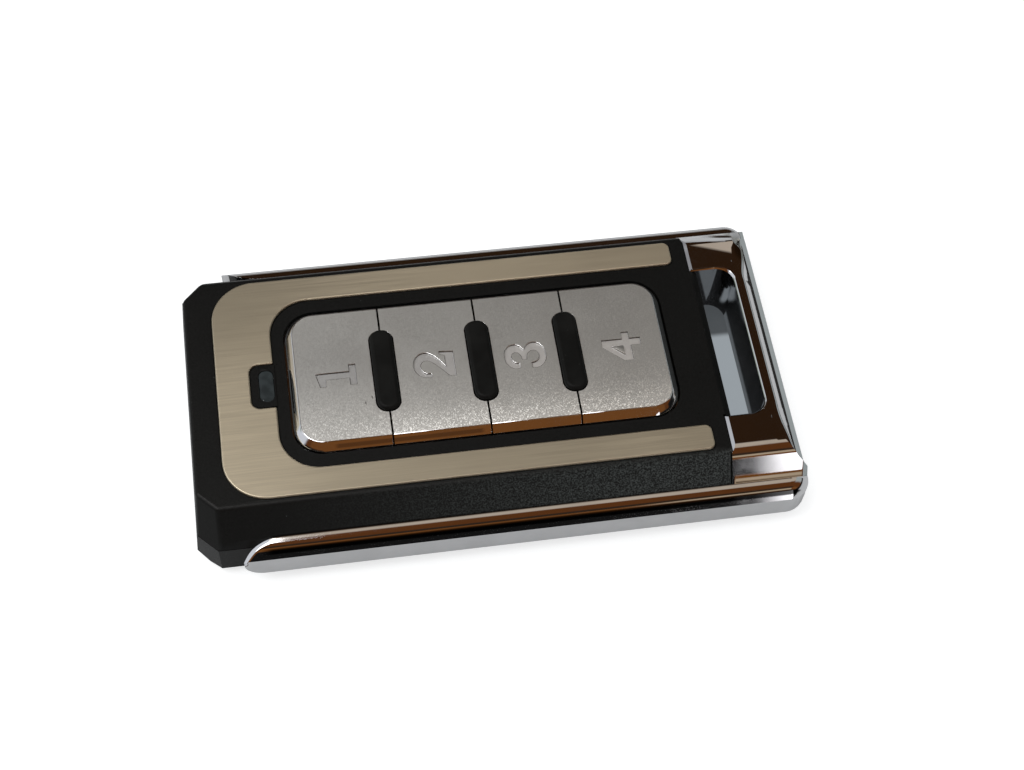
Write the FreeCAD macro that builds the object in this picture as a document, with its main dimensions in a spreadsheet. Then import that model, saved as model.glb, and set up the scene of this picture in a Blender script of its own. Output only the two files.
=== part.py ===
import FreeCAD, Part

import os
import re

import Sketcher

# Four-key radio remote with a plated frame and a key-ring slot.
#
# The length runs along X, from the window end (-X) to the key-ring end (+X).
# The keys look up, along +Z. The origin is on the surface that the remote
# lies on, under the middle of its outline. All sizes are in millimetres.

SIZES = {
    # Plated frame: two rails and the key-ring end
    "frame_width": 33.5,
    "rail_width": 1.75,
    "end_rail_width": 0.9,
    "rail_bottom": 2.0,
    "rail_top": 6.15,
    "rail_rounding": 1.5,
    "rail_slant_width": 0.93,
    "rail_slant_drop": 1.33,
    "frame_corner_radius": 2.3,
    "nose_setback": 4.6,
    "nose_radius": 5.5,
    "nose_heel_radius": 2.0,
    "nose_gap": 0.4,
    "end_drop": 0.05,
    "end_bevel_width": 0.45,
    "end_bevel_depth": 0.25,
    "end_shoulder_radius": 2.0,
    "ring_bar_width": 3.55,
    "end_rim_width": 0.65,
    "end_rim_length": 14.8,
    "end_waist_rim": 0.15,
    "end_waist_width": 18.8,
    "end_hip_rim": 0.45,
    "end_hip_width": 22.4,
    "end_flare_rim": 1.85,
    "end_flare_width": 27.2,
    "ring_slot_width": 3.75,
    "ring_slot_length": 17.5,
    "ring_slot_radius": 1.8,
    "ring_slot_lip": 0.2,
    "rail_tab_width": 0.7,
    "rail_tab_height": 0.55,
    "rail_tab_setback": 4.0,
    # Case halves
    "case_width": 30.8,
    "deck_width": 25.8,
    "deck_thickness": 1.0,
    "split_height": 5.2,
    "split_groove": 0.12,
    "corner_cut": 2.3,
    "corner_lean": 2.85,
    "end_slope": 0.75,
    "tongue_reach": 0.9,
    "tongue_width": 17.3,
    "tongue_bevel_width": 0.75,
    "tongue_bevel_depth": 0.6,
    "belly_edge_height": 1.25,
    "belly_inset": 3.0,
    "floor_thickness": 1.0,
    "wall_thickness": 1.4,
    "fit_clearance": 0.05,
    # Brushed trim plate
    "plate_margin": 3.5,
    "plate_end_margin": 1.5,
    "plate_width": 24.8,
    "plate_thickness": 0.4,
    "plate_proud": 0.25,
    "plate_corner_radius": 4.4,
    "plate_end_radius": 0.7,
    "plate_left_band": 5.7,
    "plate_window_width": 19.3,
    "plate_window_radius": 4.0,
    "plate_edge_rounding": 0.15,
    "plate_clearance": 0.1,
    # Signal window
    "notch_depth": 2.4,
    "notch_width": 5.0,
    "notch_radius": 0.9,
    "bezel_proud": 0.15,
    "light_setback": 1.5,
    "light_length": 1.4,
    "light_width": 3.5,
    "light_radius": 0.6,
    "light_recess": 0.08,
    "light_flange_width": 5.0,
    "light_flange_thickness": 0.5,
    "light_gap": 0.2,
    # Keys
    "keys_margin": 10.65,
    "keys_end_margin": 3.9,
    "key_1_length": 9.5,
    "key_2_length": 9.7,
    "key_3_length": 9.0,
    "key_4_length": 10.25,
    "keys_width": 16.0,
    "keys_corner_radius": 2.9,
    "key_rise": 0.8,
    "key_bevel_width": 0.68,
    "key_bevel_depth": 0.77,
    "key_split": 0.16,
    "key_window_gap": 0.2,
    "key_flange_reach": 0.5,
    "key_flange_thickness": 0.35,
    "key_flange_gap": 0.05,
    "key_travel": 0.3,
    "key_stop_gap": 0.15,
    "key_post_radius": 1.3,
    "key_post_gap": 0.05,
    # Rubber keypad with the ribs that stand between the keys
    "rib_length": 9.2,
    "rib_width": 2.3,
    "rib_radius": 1.05,
    "rib_rise": 0.5,
    "rib_rounding": 0.4,
    "rib_clearance": 0.1,
    "mat_lift": 0.45,
    "mat_thickness": 0.45,
    "mat_rim_width": 0.6,
    "mat_rim_clearance": 0.15,
    "mat_hole_radius": 1.6,
    # Circuit board and what is soldered on it
    "board_thickness": 0.8,
    "board_setback": 6.6,
    "board_end_setback": 1.8,
    "board_width": 24.0,
    "board_notch_length": 3.0,
    "board_notch_width": 3.4,
    "switch_size": 4.5,
    "switch_height": 1.0,
    "switch_floor": 0.2,
    "plunger_radius": 1.0,
    "plunger_reach": 0.35,
    "plunger_clearance": 0.05,
    "plunger_depth": 0.35,
    "lamp_length": 1.6,
    "lamp_width": 0.8,
    "lamp_height": 0.6,
    "chip_length": 5.0,
    "chip_width": 6.2,
    "chip_height": 1.6,
    "chip_setback": 8.0,
    "filter_size": 3.8,
    "filter_height": 1.5,
    "filter_offset": 7.0,
    "transistor_length": 2.9,
    "transistor_width": 1.6,
    "transistor_height": 1.1,
    "trimmer_radius": 1.6,
    "trimmer_height": 1.4,
    "trimmer_setback": 13.0,
    "trimmer_offset": 9.4,
    "passive_length": 1.6,
    "passive_width": 0.8,
    "passive_height": 0.6,
    "passive_pitch": 2.2,
    # Coin cell and its contacts
    "cell_radius": 10.0,
    "cell_height": 3.2,
    "cell_setback": 24.6,
    "cell_button_radius": 8.8,
    "cell_button_height": 0.3,
    "cell_clearance": 0.25,
    "cell_ring_width": 0.8,
    "cell_ring_height": 2.2,
    "contact_thickness": 0.2,
    "contact_width": 5.0,
    "contact_length": 8.0,
    "contact_riser_gap": 1.4,
    # Screws and what they hold
    "screw_setback": 4.2,
    "screw_offset": 9.0,
    "end_screw_setback": 2.4,
    "end_screw_offset": 11.3,
    "screw_radius": 0.8,
    "screw_length": 5.4,
    "screw_head_radius": 1.5,
    "screw_head_height": 0.9,
    "screw_recess": 0.25,
    "screw_slot_width": 0.4,
    "screw_slot_depth": 0.4,
    "screw_hole_clearance": 0.15,
    "thread_clearance": 0.02,
    "boss_radius": 1.9,
    "board_post_radius": 1.0,
    "board_post_setback": 1.8,
}

# Places along X that several pieces share
KEY_LENGTHS = "(key_1_length + key_2_length + key_3_length + key_4_length)"
DECK_LENGTH = f"(keys_margin + {KEY_LENGTHS} + keys_end_margin)"
FRAME_LENGTH = f"({DECK_LENGTH} + tongue_reach + ring_slot_width + ring_bar_width)"
CASE_LEFT = f"(-{FRAME_LENGTH} / 2)"
FRAME_RIGHT = f"({FRAME_LENGTH} / 2)"
DECK_END = f"({CASE_LEFT} + {DECK_LENGTH})"
TONGUE_END = f"({DECK_END} + tongue_reach)"
SLOT_END = f"({TONGUE_END} + ring_slot_width)"
GROOVE_END = f"({FRAME_RIGHT} - end_rail_width)"
NOSE_TIP = f"({CASE_LEFT} + nose_setback)"
NOSE_REACH = "sqrt(2 * nose_radius * rail_width - rail_width ^ 2)"
NOSE = f"({NOSE_TIP} + {NOSE_REACH} - nose_radius)"
PLATE_LEFT = f"({CASE_LEFT} + plate_margin)"
PLATE_RIGHT = f"({DECK_END} - plate_end_margin)"
WINDOW_LEFT = f"({PLATE_LEFT} + plate_left_band)"
NOTCH_LEFT = f"({WINDOW_LEFT} - notch_depth)"
LIGHT_X = f"({WINDOW_LEFT} - light_setback + light_length / 2)"
KEYS_LEFT = f"({CASE_LEFT} + keys_margin)"
SPLIT_1 = f"({KEYS_LEFT} + key_1_length)"
SPLIT_2 = f"({SPLIT_1} + key_2_length)"
SPLIT_3 = f"({SPLIT_2} + key_3_length)"
KEYS_RIGHT = f"({SPLIT_3} + key_4_length)"
BOARD_LEFT = f"({CASE_LEFT} + board_setback)"
BOARD_RIGHT = f"({DECK_END} - board_end_setback)"
CELL_X = f"({CASE_LEFT} + cell_setback)"
CHIP_X = f"({BOARD_RIGHT} - chip_setback)"

# Half widths
CASE_HALF = "(case_width / 2)"
RAIL_HALF = "(frame_width / 2 - rail_width)"
DECK_HALF = "(deck_width / 2)"
KEYS_HALF = "(keys_width / 2)"

# Heights
BOARD_BOTTOM = "(floor_thickness + 2 * contact_thickness + cell_height)"
BOARD_TOP = f"({BOARD_BOTTOM} + board_thickness)"
SWITCH_TOP = f"({BOARD_TOP} + switch_height)"
PLUNGER_TOP = f"({SWITCH_TOP} + plunger_reach)"
MAT_BOTTOM = f"({SWITCH_TOP} + mat_lift)"
MAT_TOP = f"({MAT_BOTTOM} + mat_thickness)"
FLANGE_BOTTOM = f"({MAT_TOP} + key_travel + key_stop_gap)"
FLANGE_TOP = f"({FLANGE_BOTTOM} + key_flange_thickness)"
CEILING = f"({FLANGE_TOP} + key_flange_gap)"
DECK_TOP = f"({CEILING} + deck_thickness)"
END_TOP = f"({DECK_TOP} - end_drop)"
PLATE_TOP = f"({DECK_TOP} + plate_proud)"
PLATE_BOTTOM = f"({PLATE_TOP} - plate_thickness)"
KEY_TOP = f"({DECK_TOP} + key_rise)"
KEY_EDGE = f"({KEY_TOP} - key_bevel_depth)"
RIB_TOP = f"({KEY_TOP} + rib_rise)"

KEY_ENDS = [KEYS_LEFT, SPLIT_1, SPLIT_2, SPLIT_3, KEYS_RIGHT]
RIBS = [SPLIT_1, SPLIT_2, SPLIT_3]
KEY_CENTRES = [f"(({low} + {high}) / 2)" for low, high in zip(KEY_ENDS, KEY_ENDS[1:])]

PLANES = {"XY": "XY_Plane", "XZ": "XZ_Plane", "YZ": "YZ_Plane"}

doc = FreeCAD.newDocument("remote")
sheet = doc.addObject("Spreadsheet::Sheet", "sizes")
nodes = []


def fill_sheet():
    """Write every driving dimension in the sheet, with its name as the alias."""
    for row, (name, size) in enumerate(SIZES.items(), start=1):
        sheet.set(f"A{row}", name)
        sheet.set(f"B{row}", str(size))
        sheet.setAlias(f"B{row}", name)
    doc.recompute()


def on_sheet(rule):
    """The rule with each size in it pointing at its cell."""
    return re.sub(r"[a-z][a-z_0-9]*", lambda word: f"sizes.{word[0]}" if word[0] in SIZES else word[0], rule)


def value(rule):
    """Number that a rule on the sheet's sizes gives now."""
    return float(sheet.evalExpression(on_sheet(rule)))


def bind(item, rules):
    """Tie properties of an object to rules on the sheet's sizes."""
    for name, rule in rules.items():
        item.setExpression(name, on_sheet(rule))


def finish_node(item, label):
    """Name a finished sub-part and keep it for the export."""
    item.Label = label
    nodes.append(item)
    return item


# Sketches and solids


def new_sketch(body, plane, start):
    """Sketch on one of a body's origin planes, moved along the plane's normal."""
    sketch = body.newObject("Sketcher::SketchObject", f"{body.Name}_sketch")
    roles = {feature.Role: feature for feature in body.Origin.OriginFeatures}
    sketch.AttachmentSupport = [(roles[PLANES[plane]], "")]
    sketch.MapMode = "FlatFace"
    bind(sketch, {"AttachmentOffset.Base.z": start})
    return sketch


def place_corner(sketch, corner):
    """Construction point at a corner of an outline, tied to its two rules."""
    x_rule, y_rule = corner[:2]
    point = Part.Point(FreeCAD.Vector(value(x_rule), value(y_rule), 0))
    index = sketch.addGeometry(point, True)
    for kind, rule, axis in (("DistanceX", x_rule, -2), ("DistanceY", y_rule, -1)):
        if rule == "0":
            sketch.addConstraint(Sketcher.Constraint("PointOnObject", index, 1, axis))
            continue
        count = sketch.addConstraint(Sketcher.Constraint(kind, -1, 1, index, 1, value(rule)))
        sketch.setExpression(f"Constraints[{count}]", on_sheet(rule))
    return index


def corner_arc(before, here, after, radius):
    """Tangent points, arc and turn of a rounded corner between two straight sides."""
    into = (here - before).normalize()
    out = (after - here).normalize()
    turn = into.x * out.y - into.y * out.x
    setback = radius * abs(turn) / (1 + into.dot(out))
    start = here - into * setback
    end = here + out * setback
    side = 1 if turn > 0 else -1
    centre = start + FreeCAD.Vector(-into.y, into.x, 0) * (radius * side)
    first, last = (start, end) if turn > 0 else (end, start)
    circle = Part.Circle(centre, FreeCAD.Vector(0, 0, 1), radius)
    arc = Part.ArcOfCircle(circle, circle.parameter(first), circle.parameter(last))
    return start, end, arc, turn > 0


def outline(sketch, corners):
    """Closed outline: corners are (x, y) or (x, y, radius), each a rule on the sizes."""
    points = [FreeCAD.Vector(value(corner[0]), value(corner[1]), 0) for corner in corners]
    count = len(corners)
    starts, ends, arcs = list(points), list(points), {}
    for i, corner in enumerate(corners):
        if len(corner) == 3:
            radius = value(corner[2])
            ends[i], starts[i], *arcs[i] = corner_arc(points[i - 1], points[i], points[(i + 1) % count], radius)
    sharps = [place_corner(sketch, corner) for corner in corners]
    sides = [sketch.addGeometry(Part.LineSegment(starts[i], ends[(i + 1) % count]), False) for i in range(count)]
    for i, corner in enumerate(corners):
        before, after = sides[i - 1], sides[i]
        if i not in arcs:
            sketch.addConstraint(Sketcher.Constraint("Coincident", before, 2, sharps[i], 1))
            sketch.addConstraint(Sketcher.Constraint("Coincident", after, 1, sharps[i], 1))
            continue
        arc, left_turn = arcs[i]
        bend = sketch.addGeometry(arc, False)
        first, last = (1, 2) if left_turn else (2, 1)
        sketch.addConstraint(Sketcher.Constraint("PointOnObject", sharps[i], 1, before))
        sketch.addConstraint(Sketcher.Constraint("PointOnObject", sharps[i], 1, after))
        sketch.addConstraint(Sketcher.Constraint("Tangent", before, 2, bend, first))
        sketch.addConstraint(Sketcher.Constraint("Tangent", after, 1, bend, last))
        fixed = sketch.addConstraint(Sketcher.Constraint("Radius", bend, value(corner[2])))
        sketch.setExpression(f"Constraints[{fixed}]", on_sheet(corner[2]))


def prism(name, plane, start, length, corners):
    """Body padded from one outline on an origin plane."""
    body = doc.addObject("PartDesign::Body", name)
    sketch = new_sketch(body, plane, start)
    outline(sketch, corners)
    feature = body.newObject("PartDesign::Pad", f"{name}_pad")
    feature.Profile = sketch
    bind(feature, {"Length": length})
    sketch.Visibility = False
    doc.recompute()
    return body


def pocket(body, top, depth, corners):
    """Pocket cut down from a height of a body, whose volume has to drop."""
    before = body.Shape.Volume
    sketch = new_sketch(body, "XY", top)
    outline(sketch, corners)
    feature = body.newObject("PartDesign::Pocket", f"{body.Name}_pocket")
    feature.Profile = sketch
    bind(feature, {"Length": depth})
    doc.recompute()
    if body.Shape.Volume >= before:
        raise ValueError(f"a pocket of {body.Name} cuts nothing")
    return feature


def dress(body, kind, edges, size):
    """Fillet or chamfer on chosen edges of a body's last feature."""
    base = body.Tip
    names = [f"Edge{i}" for i, edge in enumerate(base.Shape.Edges, start=1) if edges(edge)]
    feature = body.newObject(f"PartDesign::{kind}", f"{body.Name}_{kind.lower()}")
    feature.Base = (base, names)
    bind(feature, {"Radius" if kind == "Fillet" else "Size": size})
    doc.recompute()
    return feature


def at_height(rule):
    """Test for edges that lie level at a height."""
    level = value(rule)
    return lambda edge: all(abs(vertex.Z - level) < 1e-4 for vertex in edge.Vertexes)


def box(name, low, size):
    """Block from its low corner and its three sizes."""
    item = doc.addObject("Part::Box", name)
    bind(item, dict(zip(("Placement.Base.x", "Placement.Base.y", "Placement.Base.z"), low)))
    bind(item, dict(zip(("Length", "Width", "Height"), size)))
    return item


def middle_box(name, x, y, bottom, size):
    """Block with its plan centred on x and y."""
    return box(name, (f"{x} - {size[0]} / 2", f"{y} - {size[1]} / 2", bottom), size)


def cylinder(name, x, y, bottom, radius, height):
    """Upright cylinder."""
    item = doc.addObject("Part::Cylinder", name)
    bind(item, {"Placement.Base.x": x, "Placement.Base.y": y, "Placement.Base.z": bottom})
    bind(item, {"Radius": radius, "Height": height})
    return item


def fuse(name, pieces):
    """One solid from several that meet."""
    item = doc.addObject("Part::MultiFuse", name)
    item.Shapes = pieces
    item.Refine = True
    return item


def common(name, pieces):
    """What several solids share."""
    item = doc.addObject("Part::MultiCommon", name)
    item.Shapes = pieces
    item.Refine = True
    return item


def cut(name, base, tools):
    """A solid less some others."""
    item = doc.addObject("Part::Cut", name)
    item.Base = base
    item.Tool = tools[0] if len(tools) == 1 else group(f"{name}_tools", tools)
    item.Refine = True
    return item


def group(name, pieces):
    """Separate solids kept in one object."""
    item = doc.addObject("Part::Compound", name)
    item.Links = pieces
    return item


def loft(name, lower, upper, low, high):
    """Straight-sided solid between two level outlines with as many corners."""
    body = doc.addObject("PartDesign::Body", name)
    sketches = []
    for height, corners in ((low, lower), (high, upper)):
        sketch = new_sketch(body, "XY", height)
        outline(sketch, corners)
        sketch.Visibility = False
        sketches.append(sketch)
    feature = body.newObject("PartDesign::AdditiveLoft", f"{name}_loft")
    feature.Profile = sketches[0]
    feature.Sections = sketches[1:]
    feature.Ruled = True
    doc.recompute()
    return body


# Outlines


def rectangle(left, right, half, radius=None):
    """Corners of a rectangle about the X axis, rounded where a radius is given."""
    corners = [(left, f"-({half})"), (right, f"-({half})"), (right, half), (left, half)]
    return [(*corner, radius) for corner in corners] if radius else corners


def keys_outline(grow):
    """Outline of the four keys together, moved out by a distance."""
    radius = f"keys_corner_radius + {grow}"
    return rectangle(f"{KEYS_LEFT} - ({grow})", f"{KEYS_RIGHT} + {grow}", f"{KEYS_HALF} + {grow}", radius)


def rib_outline(x, grow):
    """Outline of one rib, moved out by a distance."""
    half = f"rib_width / 2 + {grow}"
    return rectangle(f"{x} - ({half})", f"{x} + {half}", f"rib_length / 2 + {grow}", f"rib_radius + {grow}")


def plate_outline(grow):
    """U shape of the trim plate with the notch for the signal window, moved out by a distance."""
    left, right = f"{PLATE_LEFT} - {grow}", f"{PLATE_RIGHT} + {grow}"
    window, notch = f"{WINDOW_LEFT} + {grow}", f"{NOTCH_LEFT} + {grow}"
    out, inside = f"(plate_width / 2 + {grow})", f"(plate_window_width / 2 - {grow})"
    notch_half = f"(notch_width / 2 - {grow})"
    outer_radius, inner_radius = f"plate_corner_radius + {grow}", f"plate_window_radius - {grow}"
    notch_radius, end_radius = f"notch_radius - {grow}", "plate_end_radius"
    lower = [
        (left, f"-{out}", outer_radius),
        (right, f"-{out}", end_radius),
        (right, f"-{inside}", end_radius),
        (window, f"-{inside}", inner_radius),
        (window, f"-{notch_half}"),
        (notch, f"-{notch_half}", notch_radius),
    ]
    upper = [
        (notch, notch_half, notch_radius),
        (window, notch_half),
        (window, inside, inner_radius),
        (right, inside, end_radius),
        (right, out, end_radius),
        (left, out, outer_radius),
    ]
    return lower + upper


def slope_half(height, inset):
    """Half width of the case's sloping shoulder at a height, moved in by a distance."""
    run = f"({RAIL_HALF} - {DECK_HALF}) / ({DECK_TOP} - rail_top)"
    return f"({DECK_HALF} + ({DECK_TOP} - {height}) * {run} - {inset})"


def both_sides(half_section):
    """Whole section from the corners of its +Y half, listed upwards."""
    left = [(f"-({y})", *rest) for y, *rest in half_section]
    return [*half_section, *reversed(left)]


# Case halves


def end_face(height, inset):
    """Place along X of the leaning end wall at a height, moved in by a distance."""
    lean = f"end_slope * ({height} - belly_edge_height) / ({DECK_TOP} - belly_edge_height)"
    return f"{CASE_LEFT} + {inset} + {lean}"


def upper_shell(name, inset, top, bottom, end, bevel):
    """Solid inside the upper case's faces, moved in by a distance."""
    section = both_sides([
        (f"{CASE_HALF} - {inset}", bottom),
        (f"{RAIL_HALF} - {inset}", "rail_top"),
        (slope_half(top, inset), top),
    ])
    profile = [(end_face(bottom, inset), bottom), (end, bottom), *bevel, (end_face(top, inset), top)]
    rise = f"({DECK_TOP} - split_height)"
    lower_cut = f"corner_cut + corner_lean * ({bottom} - split_height) / {rise}"
    upper_cut = f"corner_cut + corner_lean * ({top} - split_height) / {rise}"
    return common(name, [
        prism(f"{name}_section", "YZ", CASE_LEFT, FRAME_LENGTH, section),
        prism(f"{name}_profile", "XZ", "-frame_width / 2", "frame_width", profile),
        loft(f"{name}_plan", cut_corners(inset, end, lower_cut), cut_corners(inset, end, upper_cut), bottom, top),
    ])


def lower_shell(name, inset, bottom, top, end):
    """Solid inside the lower case's faces, moved in by a distance."""
    toe = f"belly_inset + {inset}"
    section = both_sides([
        (f"{CASE_HALF} - ({toe})", bottom),
        (f"{CASE_HALF} - {inset}", f"{bottom} + belly_edge_height"),
        (f"{CASE_HALF} - {inset}", top),
    ])
    edge = f"{bottom} + belly_edge_height"
    profile = [
        (f"{CASE_LEFT} + {toe}", bottom),
        (f"{end} - belly_edge_height", bottom),
        (end, edge),
        (end, top),
        (end_face(top, inset), top),
        (end_face(edge, inset), edge),
    ]
    return common(name, [
        prism(f"{name}_section", "YZ", CASE_LEFT, FRAME_LENGTH, section),
        prism(f"{name}_profile", "XZ", "-frame_width / 2", "frame_width", profile),
        prism(f"{name}_plan", "XY", bottom, f"{top} - {bottom}", cut_corners(inset, end, "corner_cut")),
    ])


def cut_corners(inset, end, leg):
    """Plan of the case with its two corners cut at 45 degrees, moved in by a distance."""
    side = f"({CASE_HALF} - {inset})"
    left = f"{CASE_LEFT} + {inset}"
    return [
        (left, f"-({side} - ({leg}))"),
        (f"{left} + {leg}", f"-{side}"),
        (end, f"-{side}"),
        (end, side),
        (f"{left} + {leg}", side),
        (left, f"{side} - ({leg})"),
    ]


def frame_space(name):
    """Room outside the case halves for the frame's rails and its key-ring end."""
    edge, far = f"({RAIL_HALF} - fit_clearance)", "frame_width"
    nose, rear = f"{NOSE} - nose_gap", f"{FRAME_RIGHT} + rail_width"
    above = f"{DECK_TOP} + rail_width"
    rails = [
        prism(f"{name}_rail_{side}", "XY", "-rail_width", above, [
            (nose, f"{sign}{far}"),
            (nose, f"{sign}{edge}", "nose_radius"),
            (rear, f"{sign}{edge}"),
            (rear, f"{sign}{far}"),
        ][::order])
        for side, sign, order in (("near", "-", -1), ("far", "", 1))
    ]
    ends = [
        box(f"{name}_end_{side}", (DECK_END, low, "-rail_width"), ("frame_width", "frame_width", above))
        for side, low in (("near", "-tongue_width / 2 - frame_width"), ("far", "tongue_width / 2"))
    ]
    return [*rails, *ends]


def screw_places():
    """Plan place of each screw."""
    left, right = f"{CASE_LEFT} + screw_setback", f"{DECK_END} - end_screw_setback"
    return [
        (left, "-screw_offset"),
        (left, "screw_offset"),
        (right, "-end_screw_offset"),
        (right, "end_screw_offset"),
    ]


def screw_columns(name, bottom, radius, height):
    """Upright cylinder at every screw."""
    return [cylinder(f"{name}_{i}", x, y, bottom, radius, height) for i, (x, y) in enumerate(screw_places(), 1)]


def make_upper_case():
    """Upper half: deck with the key window, the signal bezel and the plate's recess."""
    base = "split_height + split_groove / 2"
    bevel = [
        (TONGUE_END, f"{DECK_TOP} - tongue_bevel_depth"),
        (f"{TONGUE_END} - tongue_bevel_width", DECK_TOP),
    ]
    outer = upper_shell("upper_outer", "0", DECK_TOP, base, TONGUE_END, bevel)
    inner_end = f"{DECK_END} - wall_thickness"
    cavity = upper_shell("upper_cavity", "wall_thickness", CEILING, f"{base} - wall_thickness", inner_end,
                         [(inner_end, CEILING)])
    hollow = cut("upper_hollow", outer, [cavity])
    boss_height = f"{CEILING} - split_height + deck_thickness / 2"
    bosses = screw_columns("upper_boss", "split_height", "boss_radius", boss_height)
    bezel = prism("bezel", "XY", CEILING, "deck_thickness + bezel_proud", [
        (f"{WINDOW_LEFT} + plate_clearance", "-notch_width / 2 + plate_clearance"),
        (f"{WINDOW_LEFT} + plate_clearance", "notch_width / 2 - plate_clearance"),
        (f"{NOTCH_LEFT} + plate_clearance", "notch_width / 2 - plate_clearance", "notch_radius"),
        (f"{NOTCH_LEFT} + plate_clearance", "-notch_width / 2 + plate_clearance", "notch_radius"),
    ])
    recess = prism("plate_recess", "XY", PLATE_BOTTOM, "plate_thickness", plate_outline("plate_clearance"))
    dished = cut("upper_dished", hollow, [recess])
    window = prism("key_window", "XY", f"{CEILING} - deck_thickness", "3 * deck_thickness",
                   keys_outline("key_window_gap"))
    light_hole = prism("light_hole", "XY", f"{CEILING} - deck_thickness", "3 * deck_thickness",
                       light_outline("fit_clearance"))
    thread_radius = "screw_radius + thread_clearance"
    threads = screw_columns("pilot", "0", thread_radius, "screw_recess + screw_head_height + screw_length + 0.2")
    body = fuse("upper_body", [dished, bezel, *bosses])
    finish_node(cut("upper_part", body, [window, light_hole, *threads, *frame_space("upper_space")]), "upper_case")


def light_outline(grow):
    """Outline of the signal window, moved out by a distance."""
    reach = f"(light_length / 2 + {grow})"
    return rectangle(f"{LIGHT_X} - {reach}", f"{LIGHT_X} + {reach}", f"light_width / 2 + {grow}",
                     f"light_radius + {grow}")


def make_lower_case():
    """Lower half: belly, coin cell ring, board posts and screw bosses."""
    top = "split_height - split_groove / 2"
    outer = lower_shell("lower_outer", "0", "0", top, TONGUE_END)
    inner_end = f"{DECK_END} - wall_thickness"
    cavity = lower_shell("lower_cavity", "wall_thickness", "floor_thickness", "split_height + 1", inner_end)
    ring = cylinder("cell_ring", CELL_X, "0", "0", "cell_radius + cell_clearance + cell_ring_width",
                    "floor_thickness + cell_ring_height")
    ring_space = cylinder("cell_space", CELL_X, "0", "floor_thickness", "cell_radius + cell_clearance", "cell_height")
    contact_half = "(contact_width / 2 + cell_clearance)"
    gap = box("ring_gap", (CELL_X, f"-{contact_half}", "floor_thickness"),
              ("2 * cell_radius", f"2 * {contact_half}", "cell_height"))
    posts = [
        cylinder(f"board_post_{i}", x, y, "0", "board_post_radius", BOARD_BOTTOM)
        for i, (x, y) in enumerate(board_post_places(), 1)
    ]
    bosses = screw_columns("lower_boss", "0", "boss_radius", "split_height")
    hollow = cut("lower_hollow", outer, [cavity])
    body = fuse("lower_body", [hollow, cut("ring_wall", ring, [ring_space, gap]), *posts, *bosses])
    holes = screw_columns("screw_hole", "0", "screw_radius + screw_hole_clearance", "split_height + 1")
    sinks = screw_columns("screw_sink", "0", "screw_head_radius + screw_hole_clearance",
                          "screw_recess + screw_head_height")
    rebate_low = "split_height - rail_tab_height - fit_clearance"
    rebates = tab_boxes("tab_space", rebate_low, "rail_tab_height + 1", "fit_clearance")
    finish_node(cut("lower_part", body, [*holes, *sinks, *rebates, *frame_space("lower_space")]), "lower_case")


def tab_boxes(name, bottom, height, grow):
    """The strips inside the rails that the case halves trap, moved out by a distance."""
    left = f"{NOSE_TIP} + rail_tab_setback - {grow}"
    length = f"{DECK_END} - {NOSE_TIP} - rail_tab_setback + 2 * {grow}"
    width = f"rail_tab_width + rail_width / 2 + {grow}"
    near = box(f"{name}_near", (left, f"-{RAIL_HALF} - rail_width / 2", bottom), (length, width, height))
    far = box(f"{name}_far", (left, f"{RAIL_HALF} - rail_tab_width - {grow}", bottom), (length, width, height))
    return [near, far]


def board_post_places():
    """Plan place of each post that the board rests on."""
    left = f"{BOARD_LEFT} + board_post_setback"
    right = f"{BOARD_RIGHT} - board_notch_length - board_post_setback"
    side = "board_width / 2 - board_post_setback"
    return [(left, f"-({side})"), (left, side), (right, f"-({side})"), (right, side)]


# Frame and trim


def make_chrome_frame():
    """Rails and key-ring end in one plated piece."""
    slant_foot = "(rail_top - rail_slant_drop)"
    ring = prism("frame_ring", "XY", "rail_bottom", f"{slant_foot} - rail_bottom", ring_outline("0"))
    slant = loft("frame_slant", ring_outline("0"), ring_outline("rail_slant_width"), slant_foot, "rail_top")
    top_edges, nose = at_height("rail_top"), value(NOSE)
    dress(slant, "Fillet", lambda edge: top_edges(edge) and abs(edge.CenterOfMass.x - nose) > 1e-4, "rail_rounding")
    whole_ring = fuse("frame_whole_ring", [ring, slant])
    far, rear = "frame_width", f"{FRAME_RIGHT} + rail_width"
    heel = prism("frame_heel", "XZ", f"-{far}", f"2 * {far}", [
        (NOSE_TIP, "rail_bottom", "nose_heel_radius"),
        (rear, "rail_bottom"),
        (rear, "rail_top"),
        (NOSE_TIP, "rail_top"),
    ])
    arms = prism("frame_arms", "XY", "0", DECK_TOP, [
        (NOSE, f"-{far}"),
        (rear, f"-{far}"),
        (rear, far),
        (NOSE, far),
        (NOSE, RAIL_HALF, "nose_radius"),
        (GROOVE_END, RAIL_HALF),
        (GROOVE_END, f"-{RAIL_HALF}"),
        (NOSE, f"-{RAIL_HALF}", "nose_radius"),
    ])
    tabs = tab_boxes("tab", "split_height - rail_tab_height", "rail_tab_height", "0")
    rails = common("frame_rails", [whole_ring, arms, heel])
    body = fuse("frame_body", [rails, make_end_block(), *tabs])
    slot = prism("ring_slot", "XY", "0", f"{DECK_TOP} + 1", slot_outline("0"))
    lip_bottom = f"{END_TOP} - ring_slot_lip"
    lip = loft("slot_lip", slot_outline("0"), slot_outline("ring_slot_lip"), lip_bottom, END_TOP)
    finish_node(cut("frame_part", body, [slot, lip]), "chrome_frame")


def ring_outline(inset):
    """Outline of the whole frame, open towards the case's left end, moved in by a distance."""
    half, right = f"(frame_width / 2 - {inset})", f"{FRAME_RIGHT} - {inset}"
    radius = f"frame_corner_radius - {inset}"
    return [(NOSE, f"-{half}"), (right, f"-{half}", radius), (right, half, radius), (NOSE, half)]


def slot_outline(grow):
    """Outline of the key-ring slot, moved out by a distance and open towards the case."""
    left, right, half = f"{DECK_END} - tongue_reach", f"{SLOT_END} + {grow}", f"(ring_slot_length / 2 + {grow})"
    radius = f"ring_slot_radius + {grow}"
    return [(left, f"-{half}"), (right, f"-{half}", radius), (right, half, radius), (left, half)]


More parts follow.
